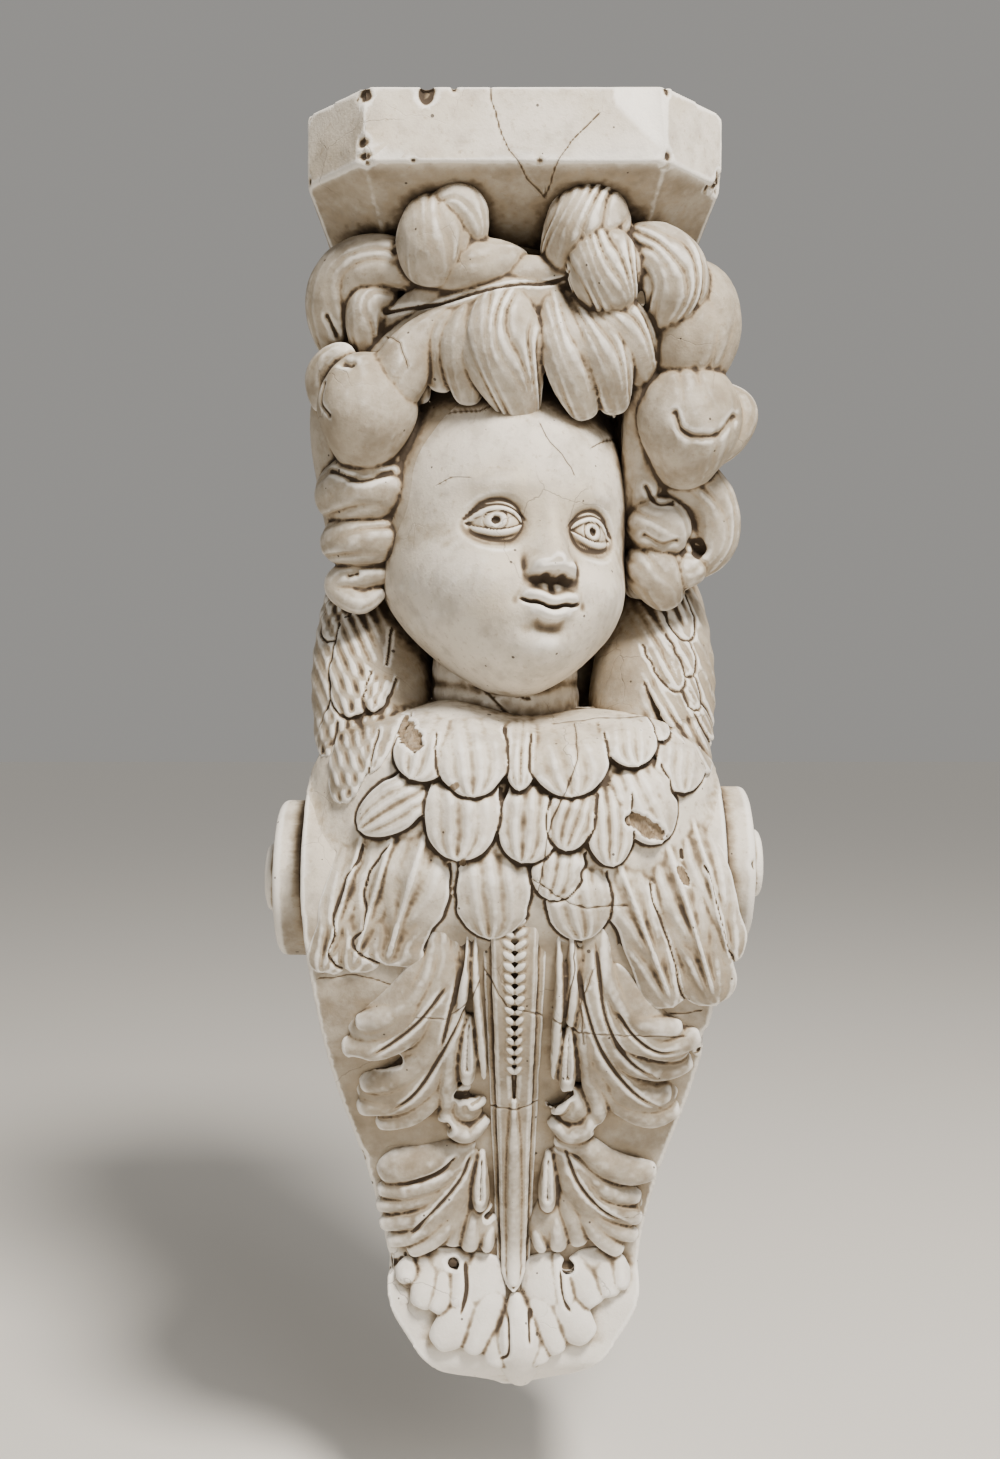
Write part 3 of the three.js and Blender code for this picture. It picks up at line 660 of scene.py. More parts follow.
# The broad parts that the bands part from, then the cupped lobes at their inner edges:
# the line, the half-widths along it and the height
webs = [
    ([(-36, -65), (-39, -104), (-48, -134), (-58, -156)], [9, 13, 16, 13], 7),
    ([(-44, -84), (-60, -113), (-84, -129)], [8, 12, 12], 7.5),
    ([(-42, -128), (-56, -152), (-81, -168)], [10, 16, 15], 8),
    ([(40, -65), (43, -108), (53, -136), (66, -160)], [9, 12, 16, 13], 7),
    ([(48, -90), (66, -122), (93, -134)], [9, 14, 14], 7.5),
    ([(48, -132), (62, -157), (86, -168)], [10, 14, 13], 8),
    ([(-23, -196), (-35, -220), (-48, -238)], [7, 12, 14], 7),
    ([(-26, -202), (-44, -226), (-70, -241)], [10, 18, 17], 8),
    ([(25, -196), (37, -220), (48, -238)], [7, 12, 14], 7),
    ([(27, -200), (44, -222), (67, -239)], [10, 17, 16], 8),
    ([(-30, -158), (-27, -170), (-24, -180)], [7, 10, 9], 8),
    ([(36, -158), (33, -170), (29, -180)], [7, 10, 9], 8),
    ([(-22, -225), (-20, -245), (-20, -256)], [9, 12, 11], 7.5),
    ([(22, -225), (20, -245), (20, -256)], [9, 12, 11], 7.5),
    ([(-38, -258), (-38, -272), (-42, -284)], [16, 16, 9], 4.5),
    ([(45, -258), (47, -270), (48, -282)], [15, 15, 9], 4.5),
    ([(-14, -262), (-20, -286), (-30, -304)], [12, 15, 13], 5.5),
    ([(14, -262), (20, -286), (30, -303)], [12, 15, 13], 5.5),
    ([(2, -282), (3, -309), (4, -337)], [6, 14, 10], 12),
    ([(-37, -162), (-34, -179), (-25, -186), (-14, -178)], [5, 7, 7, 5], 11),
    ([(-29, -160), (-23, -170), (-15, -167)], [3, 4, 3], 9),
    ([(43, -164), (40, -181), (30, -186), (19, -179)], [5, 7, 7, 5], 11),
    ([(34, -160), (25, -171), (16, -171)], [3, 4.5, 3.5], 9),
    ([(-20, -225), (-23, -247), (-25, -259)], [5, 7, 6], 9),
    ([(-12, -238), (-14, -250), (-15, -259)], [3, 4.5, 4], 9),
    ([(22, -229), (24, -247), (25, -259)], [5, 7, 6], 9),
    ([(12, -240), (14, -251), (16, -259)], [3.5, 4.5, 4], 9),
]
# Raised drops between the leaves, each with a slit cut down it
eyelets = [
    [(-23, -116), (-24.5, -136), (-25, -155)], [(-17, -198), (-18, -216), (-18.5, -233)],
    [(28.5, -122), (28, -142), (28, -160)], [(19, -198), (18.5, -216), (18.5, -233)],
]
# The lobes of the foot's leaf: each one's line and the half-widths along it
foot_lobes = [
    ([(-51, -260), (-48, -271), (-49, -281), (-53, -289)], [6, 9, 9, 8]),
    ([(-57, -264), (-59, -271), (-60, -277)], [5, 7, 6]),
    ([(-41, -262), (-40, -273), (-40, -283), (-45, -291)], [6, 8, 8, 7]),
    ([(-30, -262), (-30, -274), (-32, -289)], [4.5, 6, 6]),
    ([(-19, -262), (-21, -282), (-32, -299), (-44, -309)], [7, 11, 12, 10]),
    ([(-14, -270), (-15, -290), (-24, -314)], [6, 10, 8]),
    ([(-3, -290), (-7, -306), (-11, -321)], [6, 9, 8]), ([(7, -290), (11, -306), (15, -320)], [6, 9, 8]),
    ([(12, -272), (16, -292), (25, -314)], [6, 10, 8]),
    ([(18, -262), (23, -282), (33, -297), (43, -306)], [7, 11, 12, 10]),
    ([(23, -262), (27, -276), (30, -289)], [4.5, 6.5, 6]),
    ([(36, -262), (38, -276), (46, -288)], [7, 10, 9]), ([(47, -262), (51, -273), (53, -284)], [6, 9, 8]),
    ([(57, -262), (59, -271), (59, -280)], [5, 6, 6]),
]

leaf_clay = Clay()
for number, (line, half) in enumerate(bands):
    path = on_console(line, band_lifts + 0.7 * (number % 2))
    tongue(leaf_clay, path, half * band_spread, band_heights, blunt=0.42, rows=60)
for line, halves, high in webs:
    path = on_console(line, [0, 1, 1, 0])
    tongue(leaf_clay, path, halves, high * np.array([0.7, 1, 1, 0.8]), blunt=0.4, rows=60)
for line in eyelets:
    path = on_console(line, [1, 3, 4])
    tongue(leaf_clay, path, [2.5, 4.0, 5.2, 5.4], [5, 7.5, 9, 9.5], blunt=0.4, rows=48)
for line, halves in foot_lobes:
    tongue(leaf_clay, on_console(line, [0, 2, 4]), halves, [4, 6, 7], blunt=0.45, rows=48)

vein_deep = 1.4
vein_wide = 1.1
pocket_deep = 3.5
slit_deep = 6
hole_deep = 7
# Vein lines scored between the bands, deep pockets with their half-widths, and the two
# drilled holes
veins = [
    [(-21, -105), (-32, -127), (-51, -160), (-69, -175)], [(-33, -98), (-48, -118), (-63, -131), (-77, -140)],
    [(-26, -67), (-27, -88), (-35, -123), (-39, -140)], [(-22, -198), (-30, -216), (-49, -239), (-60, -251)],
    [(-30, -200), (-42, -211), (-65, -219)], [(32, -88), (36, -111), (46, -138), (64, -162), (84, -174)],
    [(51, -112), (61, -127), (75, -137), (88, -135)], [(27, -194), (35, -216), (49, -233), (65, -242)],
    [(40, -70), (47, -118), (60, -142), (78, -155)], [(-4, -288), (-3, -310), (-8, -316)],
    [(9, -288), (9, -308)], [(-27, -264), (-26, -280), (-30, -294)], [(26, -264), (27, -282), (33, -292)],
]
pockets = [
    ([(-84, -143), (-73, -146), (-62, -143)], 2.6), ([(-64, -191), (-48, -188), (-37, -183)], 3.4),
    ([(-29, -164), (-21, -163), (-15, -161)], 2.4), ([(17, -174), (21, -167), (29, -163)], 2.4),
    ([(46, -185), (55, -189), (66, -190)], 2.8), ([(-14, -238), (-9, -234)], 1.6),
]
holes = [(-33.6, -266), (30.3, -268)]
cracks["leaves"] = [
    [(-14, -91), (-24, -109), (-35, -118), (-50, -117)], [(20, -118), (33, -126), (60, -127), (88, -128)],
    [(31, -67), (30, -95), (24, -125)], [(40, -92), (34, -110), (36, -132)],
]


def leaf_cuts(points):
    """The leaves' cracks, veins, pockets, the slits of their eyelets and the holes."""
    cut = cracked(points, "leaves")
    for line in veins:
        route = path_through(line, np.linspace(0, 1, 24))
        near = near_line(points, route, 5)
        gap, _, share = line_gap(points[near], route)
        ends = eased(1.0, 0.7, share) * eased(0, 0.15, share)
        cut[near] = np.maximum(cut[near], vein_deep * np.exp(-(gap / vein_wide) ** 2) * ends)
    for line, wide in pockets:
        near = near_line(points, line, 8)
        gap = line_gap(points[near], line)[0] + 0.5 * lumps(points[near], 4)
        cut[near] = np.maximum(cut[near], pocket_deep * eased(1.5 * wide, 0.4 * wide, gap))
    for line in eyelets:
        near = near_line(points, line, 6)
        gap, _, share = line_gap(points[near], line)
        slit = eased(0.1, 0.3, share) * eased(0.85, 0.74, share)
        cut[near] = np.maximum(cut[near], slit_deep * eased(2.0, 0.8, gap / (0.35 + 0.75 * share)) * slit)
    for across, up in holes:
        gap = np.hypot(points[:, 0] - across, points[:, 2] - up)
        cut = np.maximum(cut, hole_deep * eased(3.6, 2.2, gap))
    return cut


skin(leaf_clay, "leaves", 0.95, 170000, carved, leaf_cuts)

# Breast. Rows of broad flat feathers, lapped like scales over a swelling form, and the
# long flight feathers that hang below them over the console. It is broken in a few places.

breast_half = 112
breast_out = 170
breast_swell = 70
breast_rise = 60
breast_fall = 95
breast_drop = 360
breast_level = casting_top - breast_drop
breast_square = 2.6
rim_square = 3.3
plume_root = 9
plumes_back = -60
barb_run = 38
bed_edge = 3


def rim_wave(across):
    """How far the collar's rim rises over its mean height."""
    return 4 * np.exp(-((across + 34) / 20) ** 2) - 5 * np.exp(-((across - 12) / 24) ** 2)


def breast_at(across, up):
    """How far the feathered breast stands out at a place."""
    above = np.clip((up - breast_level) / (breast_rise + rim_wave(across)), 0, None) ** rim_square
    below = np.clip((breast_level - up) / breast_fall, 0, None) ** 2
    room = 1 - np.clip(np.abs(across) / breast_half, 0, 1.2) ** breast_square - above - below
    out = breast_out - breast_swell + breast_swell * np.sqrt(np.clip(room, 0, None))
    half_gap = (out - front_at(up)) / 2
    eased_on = front_at(up) + half_gap + np.sqrt(half_gap ** 2 + 16) - 2
    return np.where(np.abs(across) < plate_half, eased_on, out)


def plume(clay, surface, tip, lean, length, half, layer, thick=3.8, flutes=4, shaft=0.0,
          ragged=0.06, seed=0, round_share=0.45, barbs=0.0):
    """A feather laid on a surface: broad, thin, round at the tip, with shallow flutes down
    its length and its root sunk out of sight. Gives its outline and what it covers."""
    rows, ring = 46, 30
    angle = math.radians(lean)
    line = np.array([math.sin(angle), -math.cos(angle)])
    beside = np.array([-line[1], line[0]])
    down = np.linspace(0, 1, rows)
    across = np.linspace(-1, 1, ring)
    low = down[:, None]
    tip_part = np.clip((down - 1 + round_share) / round_share, 0, 1)
    nicks = lumps(np.stack([down * 9 + seed, np.full(rows, seed * 3.1), 0 * down], axis=-1), 1)
    width = half * (0.93 + 0.07 * eased(0.2, 0.7, down)) * np.sqrt(np.clip(1 - tip_part ** 2.2, 0, 1))
    width = width * (1 + ragged * nicks)
    flat = (
        np.asarray(tip, float)
        - line * ((1 - down) * length)[:, None, None]
        + beside * (width[:, None] * across)[..., None]
    )
    crown = 1 - np.abs(across) ** 3
    wave = 0.6 * np.cos(np.pi * flutes * (across + 0.25 * np.sin(2.5 * low + seed)))
    slant = 1.7 * np.abs(across) + low * length / barb_run + 0.15 * np.sin(9 * low)
    wave = wave * (1 - barbs) + 0.7 * barbs * np.cos(2 * np.pi * slant)
    ridge = shaft * np.exp(-(across / 0.1) ** 2) * eased(1.0, 0.85, low)
    over = layer - (layer + thick + 4) * (1 - eased(0, 0.5, low))
    droop = -1.3 * tip_part[:, None] ** 2
    top = over + thick * (0.25 + 0.75 * crown) + wave * crown + ridge + droop
    base = surface(flat[..., 0], flat[..., 1])
    upper = np.stack([flat[..., 0], -(base + top), flat[..., 1]], axis=-1)
    lower = np.stack([flat[..., 0], -(base - plume_root), flat[..., 1]], axis=-1)
    lofted(clay, np.concatenate([upper, lower[:, ::-1]], axis=1))
    shown = down > 0.3

    def covers(points):
        """Which points the feather hides, seen from the front."""
        offset = points[:, [0, 2]] - tip
        share = 1 + offset @ line / length
        reach = np.interp(share, down, width, 0, 0)
        return np.abs(offset @ beside) < reach

    return np.vstack([flat[shown, 0], flat[shown, -1][::-1]]), covers


def parted(points, laid, deep):
    """The line scored round each feather, where no higher feather hides it."""
    cut = np.zeros(len(points))
    for outline, covers in laid:
        near = near_line(points, outline, 4)
        gap = line_gap(points[near], outline)[0]
        line = np.maximum(cut[near], deep * np.exp(-gap ** 2))
        cut[near] = np.where(covers(points[near]), deep * 0.35 * np.exp(-(gap / 0.5) ** 2), line)
    return cut * (points[:, 1] < plumes_back)


# Rows from the lowest up: each tip's place across and up, lean, length, half-width
long_feathers = [
    (-99, -96, -16, 92, 11.5), (-84, -94, -17, 94, 14.5), (-66, -90, -17, 88, 19),
    (111, -90, 14, 92, 11), (82, -113, 21, 98, 14.5), (104, -112, 17, 104, 14.5),
]
low_row = [(34, -77, 5, 50, 16.5), (-13, -76, -5, 58, 19.5), (17, -55, -14, 40, 13)]
middle_row = [
    (87, -2, 3, 44, 14.5), (-80, -20, -56, 58, 13), (74, -27, 21, 54, 16), (3, -36, -13, 54, 16),
    (-29, -35, -6, 56, 19), (49, -38, 5, 52, 12.5), (25, -30, -9, 44, 12),
]
collar_row = [
    (77, 25, 15, 24, 8), (62, 12, 11, 34, 14), (2, 0, -3, 44, 8.5), (-53, 6, -25, 42, 16),
    (28, -3, 2, 46, 20), (-20, -3, 4, 48, 17.5),
]

breast_clay = Clay()
ring_angle = np.linspace(0, 2 * np.pi, 160, endpoint=False)
mass_rings = []
for share in np.linspace(1, 0.0, 60):
    cosine, sine = np.cos(ring_angle), np.sin(ring_angle)
    across = breast_half * np.sign(cosine) * np.abs(cosine) ** (2 / breast_square) * share
    rise = (breast_rise + rim_wave(across)) * np.abs(sine) ** (2 / rim_square)
    up = breast_level + np.where(sine > 0, rise, -breast_fall * np.abs(sine)) * share
    mass_rings.append(np.stack([across, -breast_at(across, up), up], axis=-1))
back_ring = mass_rings[0].copy()
back_ring[:, 1] = plumes_back
lofted(breast_clay, np.array([back_ring] + mass_rings))
breast_laid = []


def flight_bed(across, up):
    """The surface under the flight feathers, which run on flat past the console's sides."""
    return breast_at(np.clip(across, bed_edge - plate_half, plate_half - bed_edge), up)


# What sets the long feathers apart: thick and ragged, with a shaft and slanting barbs
long_shape = {"thick": 4.4, "flutes": 3, "shaft": 2.6, "ragged": 0.16, "round_share": 0.14, "barbs": 0.75}
for row, bed, layer, shape in (
    (long_feathers, flight_bed, 0.5, long_shape), (low_row, breast_at, 1.0, {}),
    (middle_row, breast_at, 3.4, {}), (collar_row, breast_at, 6.0, {}),
):
    for number, (across, up, lean, length, half) in enumerate(row):
        breast_laid.append(plume(
            breast_clay, bed, (across, up), lean, length, half, layer + 0.35 * number,
            seed=number + 7 * layer, **shape,
        ))

# Where the plaster is broken: place across and up, half-length, half-width, angle, depth
breaks = {"breast_feathers": [
    (-55, 30, 13, 5, -48, 2.6), (66, -18, 10, 4, -30, 3.2), (86, -44, 5, 1.8, -62, 1.2),
    (-98, -96, 6, 2.2, -10, 1.6), (-30, 3, 2.5, 1.8, 20, 0.7), (-26, -35, 2.2, 1.4, 60, 0.7),
]}


def broken(points, name):
    """How far each point of a piece is inside a break, from 0 to 1, and how deep it is."""
    inside, deep = np.zeros(len(points)), np.zeros(len(points))
    rough = 0.3 * lumps(points, 5) + 0.22 * lumps(points, 1.8)
    for across, up, long, wide, angle, depth in breaks.get(name, []):
        turn = math.radians(angle)
        beside, above = points[:, 0] - across, points[:, 2] - up
        reach = np.hypot(
            (beside * math.cos(turn) + above * math.sin(turn)) / long,
            (above * math.cos(turn) - beside * math.sin(turn)) / wide,
        )
        share = eased(1.25, 0.85, reach + rough) * (points[:, 1] < plumes_back)
        inside = np.maximum(inside, share)
        deep = np.maximum(deep, depth * share)
    return inside, deep


cracks["breast_feathers"] = [
    [(31, 34), (31, 16), (25, 0), (18, -14), (15, -30), (11, -52)],
    [(20, 34), (42, 37), (66, 38), (86, 35)], [(9, -44), (20, -52), (36, -59), (56, -58)],
]


def breast_relief(points):
    """The breast as carved, with the broken places sunk and torn."""
    rough = 0.5 * lumps(points, 1.6)
    inside, deep = broken(points, "breast_feathers")
    return carved(points) - deep + rough * inside


def breast_cuts(points):
    """The lines round the feathers, and the cracks."""
    return np.maximum(parted(points, breast_laid, 1.4), cracked(points, "breast_feathers"))


skin(breast_clay, "breast_feathers", 1.0, 175000, breast_relief, breast_cuts, rounds=1)

# Wings. One folded wing stands up on each side of the neck, from the breast to under the
# curls: a smooth rounded shoulder, then overlapping feathers with their tips outwards.

# The middle of the right wing from its root up: across, out and above the breast's level
wing_spine = np.array([(71, 92, -5), (77, 80, 59), (82, 54, 111), (84, 40, 147)], float)
wing_halves = np.array([38, 36, 30, 24], float)
wing_heights = np.array([44, 38, 30, 23], float)


def wing_out(across, up):
    """How far a wing stands out at a place, counted across from the middle outwards."""
    share = np.linspace(0, 1, 80)
    spine_across, spine_out, spine_up = path_through(wing_spine, share).T
    centre, out, wide, tall = (
        np.interp(up - breast_level, spine_up, values)
        for values in (spine_across, spine_out, along(wing_halves, share), along(wing_heights, share))
    )
    room = 1 - np.clip((across - centre) / wide, -1, 1) ** 2
    return out + tall * np.sqrt(np.clip(room, 0.12, None))


# Each wing's feathers, left and right, from the lowest up: the tip's place across and up,
# lean, length, half-width
wing_feathers = {
    -1: [
        (-103, 16, -23, 46, 8.5), (-78, 8, -19, 50, 10.5), (-90, -8, -11, 60, 11.5),
        (-103, 80, -14, 36, 8), (-88, 37, -7, 74, 15.5), (-76, 40, -17, 30, 6.5),
    ],
    1: [
        (108, 25, 35, 44, 6.5), (99, 42, 28, 44, 6.5), (90, 30, 24, 46, 8), (96, 60, 21, 42, 7),
        (89, 52, 24, 44, 7.5), (96, 80, 16, 36, 7.5), (104, 8, 30, 44, 9),
    ],
}


def shoulder(side):
    """The outer surface of a wing and the breast together, which the feathers lie on."""

    def out_at(across, up):
        """How far that surface stands out at a place."""
        rise = np.where(up > breast_level, breast_rise + rim_wave(across), breast_fall)
        sideways, upwards = np.abs(across) / breast_half, np.abs(up - breast_level) / rise
        on_breast = sideways ** breast_square + upwards ** breast_square < 1
        breast = np.where(on_breast, breast_at(across, up), 0)
        return np.maximum(breast - 1.0, wing_out(side * across, up))

    return out_at


wing_clay = Clay()
wings_laid = []
for side, feathers in wing_feathers.items():
    spine = wing_spine * [side, -1, 1] + [0, 0, breast_level]
    tongue(wing_clay, spine, wing_halves, wing_heights, outward=(side * 0.24, -0.97, 0), ring=96, rows=90)
    for number, (across, up, lean, length, half) in enumerate(feathers):
        wings_laid.append(plume(
            wing_clay, shoulder(side), (across, up), lean, length, half, 0.8 + 0.5 * number,
            thick=3.2, flutes=3, ragged=0.08, seed=number + 5 * side, round_share=0.4,
        ))


def wing_relief(points):
    """The wings as carved, with fine barbs combed slantwise over their outer parts."""
    comb = 0.35 * np.sin(points[:, 0] * 0.9 + points[:, 2] * 0.45) * eased(60, 84, np.abs(points[:, 0]))
    return carved(points) + comb


skin(wing_clay, "wings", 1.1, 100000, wing_relief, lambda points: parted(points, wings_laid, 1.5), rounds=1)

# Neck and face. The head looks up and to one side. The face is a calm child's, smooth
# and full in the cheek, with drilled pupils, and the neck has one soft fold.

head_height = 185
head_drop = 208
head_centre = np.array([-7, -88, casting_top - head_drop])
head_pose = Euler((math.radians(-6), math.radians(4.5), math.radians(18)), "XYZ")
neck_radius = 42


def at_head(places):
    """Places round the head, from hundredths of its height across, out and up."""
    places = np.atleast_2d(np.asarray(places, float)) * head_height / 100
    return head_centre + places * [1, -1, 1]


def bump(across, up, at_across, at_up, wide, tall):
    """A soft round swelling, 1 at its middle."""
    return np.exp(-((across - at_across) / wide) ** 2 - ((up - at_up) / tall) ** 2)


def features(across, up):
    """How far the features stand out of the egg of the head, in shares of its height."""
    side = np.abs(across)
    # Brow, socket and cheek
    out = 0.010 * bump(side, up, 0.13, 0.045, 0.09, 0.03)
    out -= 0.034 * bump(side, up, 0.125, -0.055, 0.085, 0.05)
    out += 0.046 * bump(side, up, 0.19, -0.22, 0.12, 0.10)
    out -= 0.006 * bump(side, up, 0.085, -0.14, 0.03, 0.05)
    # Eyeball, with its lids, their creases, the iris and the drilled pupil
    eye_across, eye_up, ball = side - 0.14, up + 0.065, 0.078
    globe = np.sqrt(np.clip(ball ** 2 - eye_across ** 2 - eye_up ** 2, 0, None)) - 0.072
    upper = 0.033 * (1 - (eye_across / 0.074) ** 2) + 0.003
    lower = -0.029 * (1 - (eye_across / 0.074) ** 2) + 0.003
    lid = globe + 0.008
    reach = np.sqrt((eye_across / 1.12) ** 2 + eye_up ** 2)
    on_lid = eased(0.086, 0.060, reach)
    out = out * (1 - on_lid) + np.maximum(lid, out - 0.01) * on_lid
    out -= 0.008 * np.exp(-((eye_up - upper - 0.015) / 0.005) ** 2) * eased(0.085, 0.06, np.abs(eye_across))
    out -= 0.004 * np.exp(-((eye_up - lower + 0.016) / 0.006) ** 2) * eased(0.07, 0.035, np.abs(eye_across))
    opening = eased(0, 0.006, np.minimum(upper - eye_up, eye_up - lower)) * (np.abs(eye_across) < 0.076)
    gaze = np.hypot(across - np.sign(across) * 0.14 + 0.004, eye_up - 0.006)
    iris = -0.0026 * np.exp(-((gaze - 0.029) / 0.0024) ** 2)
    pupil = -0.016 * eased(0.0145, 0.008, gaze)
    out = out * (1 - opening) + (globe + iris + pupil) * opening
    # Nose: bridge, ball, wings and nostrils
    root = eased(0.03, -0.17, up)
    bridge = 0.030 + 0.022 * root
    nose = (0.010 + 0.062 * root ** 1.4) * eased(0.08, -0.05, up) * np.exp(-np.abs(across / bridge) ** 2.2)
    nose += 0.024 * bump(across, up, 0, -0.176, 0.036, 0.03)
    out += nose * eased(-0.228, -0.192, up + 0.10 * side)
    out += 0.036 * bump(side, up, 0.048, -0.192, 0.021, 0.024) * eased(-0.23, -0.204, up)
    out -= 0.010 * bump(side, up, 0.074, -0.19, 0.011, 0.03)
    out -= 0.020 * bump(side, up, 0.023, -0.214, 0.012, 0.010)
    # Upper lip's groove, lips and chin
    out -= 0.006 * bump(across, up, 0, -0.243, 0.011, 0.02)
    out += 0.002 * bump(side, up, 0.021, -0.245, 0.012, 0.02)
    mouth = -0.292 + 0.014 * (side / 0.085) ** 2 - 0.006 * np.cos(side * 50) * eased(0.06, 0.02, side)
    span = eased(0.092, 0.045, side)
    out += 0.024 * bump(across, up, 0, -0.29, 0.1, 0.06)
    out += 0.024 * np.exp(-((up - mouth - 0.019) / 0.015) ** 2) * span
    out += 0.029 * np.exp(-((up - mouth + 0.024) / 0.018) ** 2) * eased(0.078, 0.02, side)
    out -= 0.019 * np.exp(-((up - mouth) / 0.0056) ** 2) * eased(0.09, 0.065, side)
    out -= 0.006 * bump(side, up, 0.094, -0.282, 0.018, 0.02)
    out -= 0.010 * bump(across, up, 0, -0.352, 0.07, 0.024)
    out += 0.030 * bump(across, up, 0, -0.405, 0.075, 0.045)
    return out


def head_form():
    """The whole head, rows of rings from the face's middle round to the back."""
    rows, ring = ((240, 270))
    polar = np.linspace(0, np.pi, rows)[:, None]
    turn = np.linspace(0, 2 * np.pi, ring, endpoint=False)[None]
    spread = np.pi * (polar / np.pi) ** 1.35
    across, up = np.sin(spread) * np.cos(turn), np.sin(spread) * np.sin(turn)
    front = np.cos(spread) + 0 * turn
    width = 0.355 + 0.035 * eased(-0.2, 0.5, up) + 0.02 * np.exp(-((up + 0.42) / 0.25) ** 2)
    width = width - 0.05 * eased(-0.6, -1, up)
    jaw = 0.17 * eased(-0.15, -1, up)
    depth = 0.44 + 0.03 * eased(-0.1, 0.6, up)
    out = front * depth + jaw
    out += np.where(front > 0, features(across * width, 0.5 * up) * eased(0, 0.35, front), 0)
    return np.stack([across * width, -out, 0.5 * up], axis=-1)


cracks["face"] = [
    [(-50, 196), (-34, 195), (-18, 194), (-3, 201)], [(13, 186), (18, 176), (24, 170), (30, 160)],
    [(-39, 156), (-32, 159), (-23, 158)], [(62, 190), (48, 182), (40, 176)],
]


form = head_form() * head_height
turned_head = form.reshape(-1, 3) @ np.array(head_pose.to_matrix()).T + head_centre
head_clay = Clay()
lofted(head_clay, turned_head.reshape(form.shape)[:, ::-1])
face = bpy.data.objects.new("face", head_clay.mesh("face"))
bpy.context.scene.collection.objects.link(face)
smooth = points_of(face.data)
relief = 0.25 * lumps(smooth, 16) + 0.1 * lumps(smooth, 5) - 0.6 * cracked(smooth, "face")
move_points(face.data, smooth + normals_of(face.data) * relief[:, None])
mapped(face.data)
finished(face)

neck_clay = Clay()
tongue(
    neck_clay, at_head([(0, -22, -78), (1, -4, -50), (1, 4, -10)]),
    neck_radius * np.array([1.25, 1, 1]), ring=96, rows=80,
)


def neck_relief(points):
    """The neck as carved, with its fold."""
    fold = 0.7 * np.exp(-((points[:, 2] - 52 - 0.003 * (points[:, 0] + 4) ** 2) / 3.5) ** 2)
    return carved(points) - fold


cracks["neck"] = [
    [(-42, 72), (-26, 62), (-8, 52), (8, 47)], [(-20, 60), (-12, 48), (-4, 40)],
    [(-30, 64), (2, 58), (28, 62)],
]
skin(neck_clay, "neck", 1.5, 16000, neck_relief)

# Hair. Thick curls down both sides, a rolled band over the brow and a fringe of fluted
# locks, each modelled by hand as a fat rope with its strands scored in.

